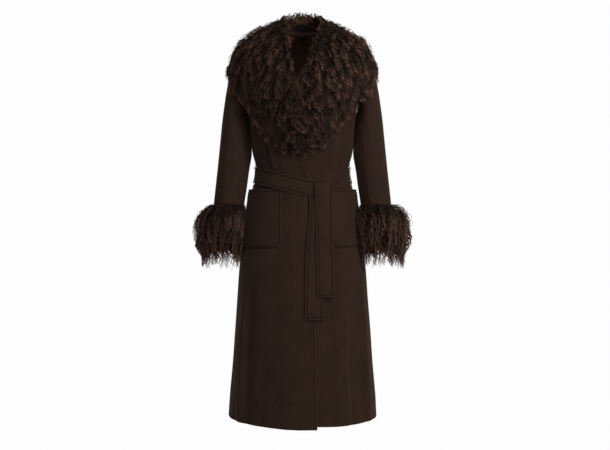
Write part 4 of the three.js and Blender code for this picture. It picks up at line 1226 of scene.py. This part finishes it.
class CoatCollar(bpy.types.Operator):
    """Makes each half of the shawl collar: its skin, its underwool and its curly locks."""

    bl_idname = "coat.collar"
    bl_label = "Collar"

    def execute(self, context):
        curls = context.scene.coat_curls
        for side, word in SIDES:
            self.half(curls, side, word)
        return {"FINISHED"}

    def half(self, curls, side, word):
        """One half: its skin, with the underwool and the locks on it."""
        underwool = lambskin_underwool(curls)
        s, t = shares(110, 35)
        foot, way, pile = collar_form(word, s, t)
        nape = (1 - ease((s - 0.3) / 0.2)) * (1 - ease((t - 0.1) / 0.3))
        deep = 0.5 + 0.36 * nape + 0.16 * lumps(foot, 14, curls.seed + side)
        top = foot + way * np.maximum(pile * deep, WOOL_TO)[..., None]
        base = foot + way * WOOL_FROM
        for grid in (foot, base, top):
            grid[..., 0] = np.where(s == 0, -0.3, grid[..., 0])
        wool = closed_layer(f"lambskin_collar_wool_{word}", top, base, side)
        finish_piece(wool, f"collar_{word}", underwool)
        foot, way = foot[::2, ::2], way[::2, ::2]
        upper, lower = foot + way * SKIN_TO, foot + way * SKIN_FROM
        skin = closed_layer(f"lambskin_collar_skin_{word}", upper, lower, side)
        finish_piece(skin, f"collar_{word}", underwool)
        locks = [self.locks(curls, side, word, part) for part in ("inner", "outer")]
        cut = flat_cut(foot.swapaxes(0, 1))

    def roots(self, draw, word, count, edge, seed):
        """Where the locks grow, and which of them grow from the wall of the pile round the neck."""
        s, t = spread_over_collar(word, count, seed)
        rim = draw.uniform(size=count) < (0 if edge else RIM_LOCKS)
        s = np.where(rim, draw.uniform(size=count) ** 1.3, s)
        t = np.where(rim, 0.03 * draw.uniform(size=count), t)
        if edge:
            which = draw.uniform(size=count)
            t = np.where(which < EDGE_LOCKS, 1 - 0.12 * draw.uniform(size=count), t)
        return s, np.clip(t, 0.0, 0.985), rim

    def ways(self, draw, word, s, t, rim, foot, stand):
        """The way that each lock grows, and the tufts, whose locks share a way: outwards and down,
        and over the inner edge beside it, except where the two halves of the collar meet."""
        count = len(s)
        flow, down = collar_flow(word, s, t, stand)
        closed = 0.6 * ease((s - 0.5) / 0.15) - 0.6 * ease((s - 0.7) / 0.1)
        spill = (1 - ease(t / 0.2)) * (draw.uniform(size=count) < 0.6) * (1 - closed)
        lie = flow * (0.75 + 0.35 * draw.normal(size=count))[:, None] + down * 1.15
        lie = mix(lie, down * 0.55 - flow, np.where(rim, 0.9 - 0.6 * closed, spill * 0.9)[:, None])
        tufts = count // COLLAR_CURL["tuft"]
        groups = nearest_group(foot, foot[draw.choice(count, size=tufts, replace=False)])
        lie = unit(lie) + draw.normal(scale=0.17, size=(groups.max() + 1, 3))[groups]
        return unit(lie + draw.normal(scale=0.12, size=(count, 3))), groups

    def locks(self, curls, side, word, part):
        """Half of the locks: the inner ones, some of which grow from the wall of the pile round
        the neck, or the outer ones, some of which crowd the outer edge, so that it ends in
        pointed tufts. A lock follows the collar's own form: its shares move by their step
        times q^1.3 while it stands begin + lift sin(1.9 q) high. Locks at the back of the neck
        are shorter and calmer."""
        edge, count = part == "outer", curls.collar_locks // 2
        seed = curls.seed * 10 + side + (4 if edge else 0)
        draw = np.random.default_rng(seed)
        s, t, rim = self.roots(draw, word, count, edge, seed)
        foot, way, pile = collar_form(word, s, t)
        lie, groups = self.ways(draw, word, s, t, rim, foot, way)
        at_neck = (1 - ease((s - 0.3) / 0.2)) * (1 - ease(t / 0.55))
        stray = draw.uniform(size=count) < COLLAR_CURL["strays"]
        begin = pile * np.where(rim, draw.uniform(0.0, 0.95, count), draw.uniform(0.05, 0.5, count))
        reach = pile * draw.uniform(0.74, 1.06, count) * (1 + 0.12 * lumps(foot, 30, seed))
        reach = reach * (1 + mix(0.5, 0.12, ease(s / 0.3)) * at_neck)
        reach = np.minimum(reach, 1.25 * pile)
        reach = np.where(rim, begin + pile * draw.uniform(0.12, 0.35, count), reach)
        lift = np.maximum(reach - begin, 5) * np.where(stray, 1.2 - 0.3 * at_neck, 1)
        length = mix(*COLLAR_HAIR, ease(t * 1.5)) * draw.uniform(0.7, 1.2, count) * (1 - 0.3 * at_neck)
        length = length * np.where(rim, 0.8, 1)
        q = np.linspace(0, 1, 16)[None, :]
        height = (begin[:, None] + lift[:, None] * np.sin(1.9 * q)) / pile[:, None]
        over = draw.uniform(-0.08, 0.14, groups.max() + 1)[groups] + draw.uniform(0, 0.05, count)
        wisp = (np.where(stray, 8.0, 0) * (1 - at_neck))[:, None] * np.sin(1.9 * q)
        line = self.laid(word, s, t, lie * length[:, None], height, q**1.3, over, wisp)
        line, way, run = mirrored(line, side), mirrored(way, side), np.hypot(lift, length)
        name = f"lambskin_collar_locks_{part}_{word}"
        piece = lock_mesh(name, line, way, COLLAR_CURL, run, stray, groups, seed)
        finish_piece(piece, f"collar_{word}", lambskin_hair(curls))
        return piece

    def laid(self, word, s, t, move, height, q, over, wisp):
        """Lines that leave (s, t) by a movement and keep to the collar's form. The movement is
        turned to steps in s and t by the form's two slopes, and both steps are cut short where
        they would end further past the outer edge than over allows. What lies past an edge runs
        on straight and sinks. Height is a share of the pile, and wisp is what a stray lock
        stands above it."""
        step = 0.004
        slopes = []
        for way_s, way_t in ((step, 0), (0, step)):
            ahead = collar_form(word, np.clip(s + way_s, 0, 1), np.clip(t + way_t, 0, 1))[0]
            behind = collar_form(word, np.clip(s - way_s, 0, 1), np.clip(t - way_t, 0, 1))[0]
            span = np.clip(s + way_s, 0, 1) - np.clip(s - way_s, 0, 1)
            span = span + np.clip(t + way_t, 0, 1) - np.clip(t - way_t, 0, 1)
            slopes.append((ahead - behind) / span[:, None])
        a, c = (np.sum(slope * slope, axis=-1) for slope in slopes)
        b = np.sum(slopes[0] * slopes[1], axis=-1)
        m, n = (np.sum(move * slope, axis=-1) for slope in slopes)
        whole = np.maximum(a * c - b * b, 1e-6)
        step_s, step_t = (m * c - n * b) / whole, (n * a - m * b) / whole
        kept = np.clip((1 + over - t) / np.maximum(step_t, 1e-6), 0.4, 1)
        step_s, step_t = step_s * kept, step_t * kept
        at_s, at_t = s[:, None] + step_s[:, None] * q, t[:, None] + step_t[:, None] * q
        in_s, in_t = np.clip(at_s, 0, 1), np.clip(at_t, 0, 1)
        foot, way, pile = collar_form(word, in_s, in_t)
        past = (at_s - in_s)[..., None] * slopes[0][:, None] + (at_t - in_t)[..., None] * slopes[1][:, None]
        past = past - np.array([0, 0, 0.35]) * np.linalg.norm(past, axis=-1, keepdims=True)
        return foot + way * (np.maximum(height * pile, LOWEST_HAIR) + wisp)[..., None] + past


def sleeve_end(z, key):
    """A measure of the sleeve at a height, held at its end below the end."""
    held = {k: v[LEVEL_RING:] for k, v in SLEEVE.items()}
    return along(held, "outer_z", np.maximum(z, -680), key)


def keep_clear(points):
    """Moves points sideways until they are clear of the body and the pocket on it."""
    y, z = points[..., 1], points[..., 2]
    margin = LAYER + CLOTH / 2 + CUFF_CLEARANCE
    depth = np.where(y < 0, along(BODY, "z", z, "front"), along(BODY, "z", z, "back"))
    power = along(BODY, "z", z, "power")
    share = np.minimum(np.abs(y) / (depth + margin), 1)
    width = (along(BODY, "z", z, "width") + margin) * (1 - share**power) ** (1 / power)
    points = points.copy()
    points[..., 0] = np.maximum(points[..., 0], width)
    return points


def cuff_form(turn, z, fill):
    """A point of the cuff between the sleeve (fill 0) and the tips of its hair (fill 1)."""
    turn, z, fill = np.broadcast_arrays(turn, z, fill)
    fit = CLOTH / 2 + 1.3
    inner = mix(sleeve_end(z, "inner_x") - fit, along(CUFF, "z", z, "inner"), fill)
    outer = mix(sleeve_end(z, "outer_x") + fit, along(CUFF, "z", z, "outer"), fill)
    depth = mix(sleeve_end(z, "depth") + fit, along(CUFF, "z", z, "depth"), fill)
    x = mix(inner, outer, (1 - np.cos(turn)) / 2)
    return stack(x, sleeve_end(z, "y") - depth * np.sin(turn), z)


class CoatCuffs(bpy.types.Operator):
    """Makes the curly lambskin cuffs round the ends of the sleeves."""

    bl_idname = "coat.cuffs"
    bl_label = "Cuffs"

    def execute(self, context):
        curls = context.scene.coat_curls
        for side, word in SIDES:
            self.one(curls, side, word)
        return {"FINISHED"}

    def one(self, curls, side, word):
        """One cuff: a ring of underwool with a ragged lower end, and the locks on it."""
        turn = np.linspace(0, 2 * np.pi, 85)[:-1][:, None]
        ragged = CUFF_HAIR["wool_end"] + 9 * lumps(cuff_form(turn, -690.0, 0.0), 22, curls.seed)
        z = mix(-550, ragged, np.linspace(0, 1, 30)[None, :])
        inner = cuff_form(turn, z, 0.0)
        arch = np.sin(np.pi * np.linspace(0.04, 0.97, 30)[None, :]) ** 0.9
        fill = (0.46 + 0.1 * lumps(inner, 14, curls.seed)) * arch
        outer = keep_clear(cuff_form(turn, z, fill))
        wool = closed_layer(f"lambskin_cuff_wool_{word}", outer, inner, side, tube=True)
        finish_piece(wool, f"cuff_{word}", lambskin_underwool(curls))
        self.locks(curls, side, word)

    def locks(self, curls, side, word):
        """The cuff's locks. Each line runs in the cuff's own space: down from its root by
        length q^1.15, after it has stood up a little, while its share of the way from the sleeve
        to the tips of the pile grows with sin(2.2 q) up to a quarter turn. So the locks fan out
        from the wrist and fall in a bell."""
        count = curls.cuff_locks
        draw = np.random.default_rng(curls.seed + 100 + side)
        turn = draw.uniform(0, 2 * np.pi, count)
        top = mix(CUFF_HAIR["first"], CUFF_HAIR["last"], draw.uniform(size=count) ** 1.2)
        foot = cuff_form(turn, top, 0.1)
        tufts = count // CUFF_CURL["tuft"]
        groups = nearest_group(foot, foot[draw.choice(count, size=tufts, replace=False)])
        many = groups.max() + 1
        length = np.clip((top - CUFF_HAIR["tips"]) * draw.uniform(0.8, 1.05, count), 24, 72)
        length = length * draw.uniform(0.82, 1.08, many)[groups]
        stray = draw.uniform(size=count) < CUFF_CURL["strays"]
        full = draw.uniform(0.6, 1.0, count) * draw.uniform(0.84, 1.1, many)[groups]
        full = full * np.where(stray, draw.uniform(1.05, 1.25, count), 1)
        start = draw.uniform(0.05, 0.4, count) * full
        drift = draw.normal(scale=0.12, size=many)[groups] + draw.normal(scale=0.06, size=count)
        q = np.linspace(0, 1, 20)[None, :]
        fall_z = top[:, None] - length[:, None] * q**1.15
        rise = draw.uniform(3, 12, count) * np.where(stray, 1.7, 1)
        hair_z = fall_z + rise[:, None] * np.sin(np.pi * np.minimum(q * 1.4, 1))
        fill = mix(start[:, None], full[:, None], np.sin(np.minimum(2.2 * q, np.pi / 2)))
        wide_z = np.maximum(fall_z - np.where(stray, 14, 0)[:, None], CUFF_HAIR["held"])
        line = cuff_form(turn[:, None] + drift[:, None] * q, wide_z, fill)
        line[..., 2] = hair_z
        over_front = np.where(turn < np.pi, np.clip(np.sin(2 * turn), 0, 1), 0)
        line[..., 0] -= (CUFF_OVER_FRONT[word] * over_front)[:, None] * q**0.7
        stand = unit(cuff_form(turn, top, 1.0) - foot + np.array([0, 0, 1e-3]))
        line, stand, seed = mirrored(line, side), mirrored(stand, side), curls.seed + side
        name = f"lambskin_cuff_locks_{word}"
        piece = lock_mesh(name, line, stand, CUFF_CURL, length, stray, groups, seed)
        self.hold_clear(piece, side)
        finish_piece(piece, f"cuff_{word}", lambskin_hair(curls))

    def hold_clear(self, piece, side):
        """Presses the locks flat where the body is beside them."""
        mesh = piece.data
        points = np.empty(len(mesh.vertices) * 3, np.float32)
        mesh.vertices.foreach_get("co", points)
        points = mirrored(points.reshape(-1, 3) / MM, side)
        clear = mirrored(keep_clear(points), side) * MM
        mesh.vertices.foreach_set("co", clear.astype(np.float32).ravel())
        mesh.update()


# ---------------------------------------------------------------- stage
class CoatStage(bpy.types.Operator):
    """Makes the pale floor and backdrop, the soft studio light and the camera."""

    bl_idname = "coat.stage"
    bl_label = "Stage"

    def execute(self, context):
        stage = context.scene.coat_stage
        self.backdrop(studio_paper(stage))
        world = bpy.data.worlds.new("soft_studio")
        world.use_nodes = True
        sky = world.node_tree.nodes["Background"]
        sky.inputs[0].default_value = (1, 1, 1, 1)
        seen = add_node(world, "LightPath").outputs["Is Camera Ray"]
        strength = reckon(world, "MULTIPLY_ADD", seen, 1 - stage.ambient, stage.ambient)
        world.node_tree.links.new(strength, sky.inputs[1])
        context.scene.world = world
        context.scene.view_settings.view_transform = "Standard"
        for name, place, size, share in LAMPS:
            self.lamp(name, place, size, stage.key * share)
        self.camera()
        return {"FINISHED"}

    def backdrop(self, material):
        """A floor that curves up behind: a straight run, a quarter circle and a straight rise."""
        turn = np.linspace(0, np.pi / 2, 25)
        radius, back, front = 1200.0, 2600.0, -5200.0
        y = np.concatenate([[front], back + radius * np.sin(turn), [back + radius]])
        z = np.concatenate([[0.0], radius * (1 - np.cos(turn)), [5200.0]]) + FLOOR_Z / MM
        x = np.array([-6000.0, 6000.0])
        points = stack(x[:, None], y[None, :], z[None, :])
        index = np.arange(2 * len(y)).reshape(2, len(y))
        faces = quads(index[0, :-1], index[1, :-1], index[1, 1:], index[0, 1:])
        floor = make_mesh("studio_floor", points.reshape(-1, 3), faces)
        floor.data.materials.append(material)

    def lamp(self, name, place, size, power):
        """A square soft light that looks at the coat's chest."""
        light = bpy.data.lights.new(f"studio_{name}", "AREA")
        light.size = size
        light.energy = power
        lamp = bpy.data.objects.new(f"studio_{name}", light)
        lamp.location = place
        x, y, z = np.array(LAMP_AIM) - np.array(place)
        lamp.rotation_euler = (float(np.arctan2(np.hypot(x, y), -z)), 0, float(np.arctan2(-x, y)))
        lamp.visible_camera = False
        bpy.context.scene.collection.objects.link(lamp)

    def camera(self):
        """Level, in front of the coat, with the lens that makes a pixel 3.1 mm there."""
        camera = bpy.data.cameras.new("camera")
        camera.sensor_width = SENSOR
        camera.lens = SENSOR * CAMERA_AWAY / (2 * MIDDLE * PIXEL)
        place = bpy.data.objects.new("camera", camera)
        place.location = ((MIDDLE - MID_COLUMN) * PIXEL, -CAMERA_AWAY, CAMERA_Z)
        place.rotation_euler = (np.pi / 2, 0, 0)
        bpy.context.scene.collection.objects.link(place)
        bpy.context.scene.camera = place


OPERATORS = (CoatBody, CoatSleeves, CoatPockets, CoatBelt, CoatHanger, CoatCollar, CoatCuffs, CoatStage)
SETTINGS = {"coat_cloth": ClothSettings, "coat_curls": CurlSettings, "coat_stage": StageSettings}


class CoatPanel(bpy.types.Panel):
    """Lists the coat's settings and the steps that make it."""

    bl_idname = "VIEW3D_PT_coat"
    bl_label = "Belted wool coat"
    bl_space_type = "VIEW_3D"
    bl_region_type = "UI"
    bl_category = "Coat"

    def draw(self, context):
        for name, group in SETTINGS.items():
            box = self.layout.box()
            for key in group.__annotations__:
                box.prop(getattr(context.scene, name), key)
        for operator in OPERATORS:
            self.layout.operator(operator.bl_idname)


def register():
    """Registers the settings, the operators and the panel."""
    for group in SETTINGS.values():
        bpy.utils.register_class(group)
    for operator in (*OPERATORS, CoatPanel):
        bpy.utils.register_class(operator)
    for name, group in SETTINGS.items():
        setattr(bpy.types.Scene, name, PointerProperty(type=group))


def unregister():
    """Takes them all away again."""
    for name in SETTINGS:
        delattr(bpy.types.Scene, name)
    for group in (CoatPanel, *OPERATORS, *SETTINGS.values()):
        bpy.utils.unregister_class(group)


def main():
    """Makes the coat on its stage."""
    register()
    bpy.ops.coat.body()
    bpy.ops.coat.sleeves()
    bpy.ops.coat.pockets()
    bpy.ops.coat.belt()
    bpy.ops.coat.hanger()
    bpy.ops.coat.collar()
    bpy.ops.coat.cuffs()
    bpy.ops.coat.stage()


if __name__ == "__main__":
    main()
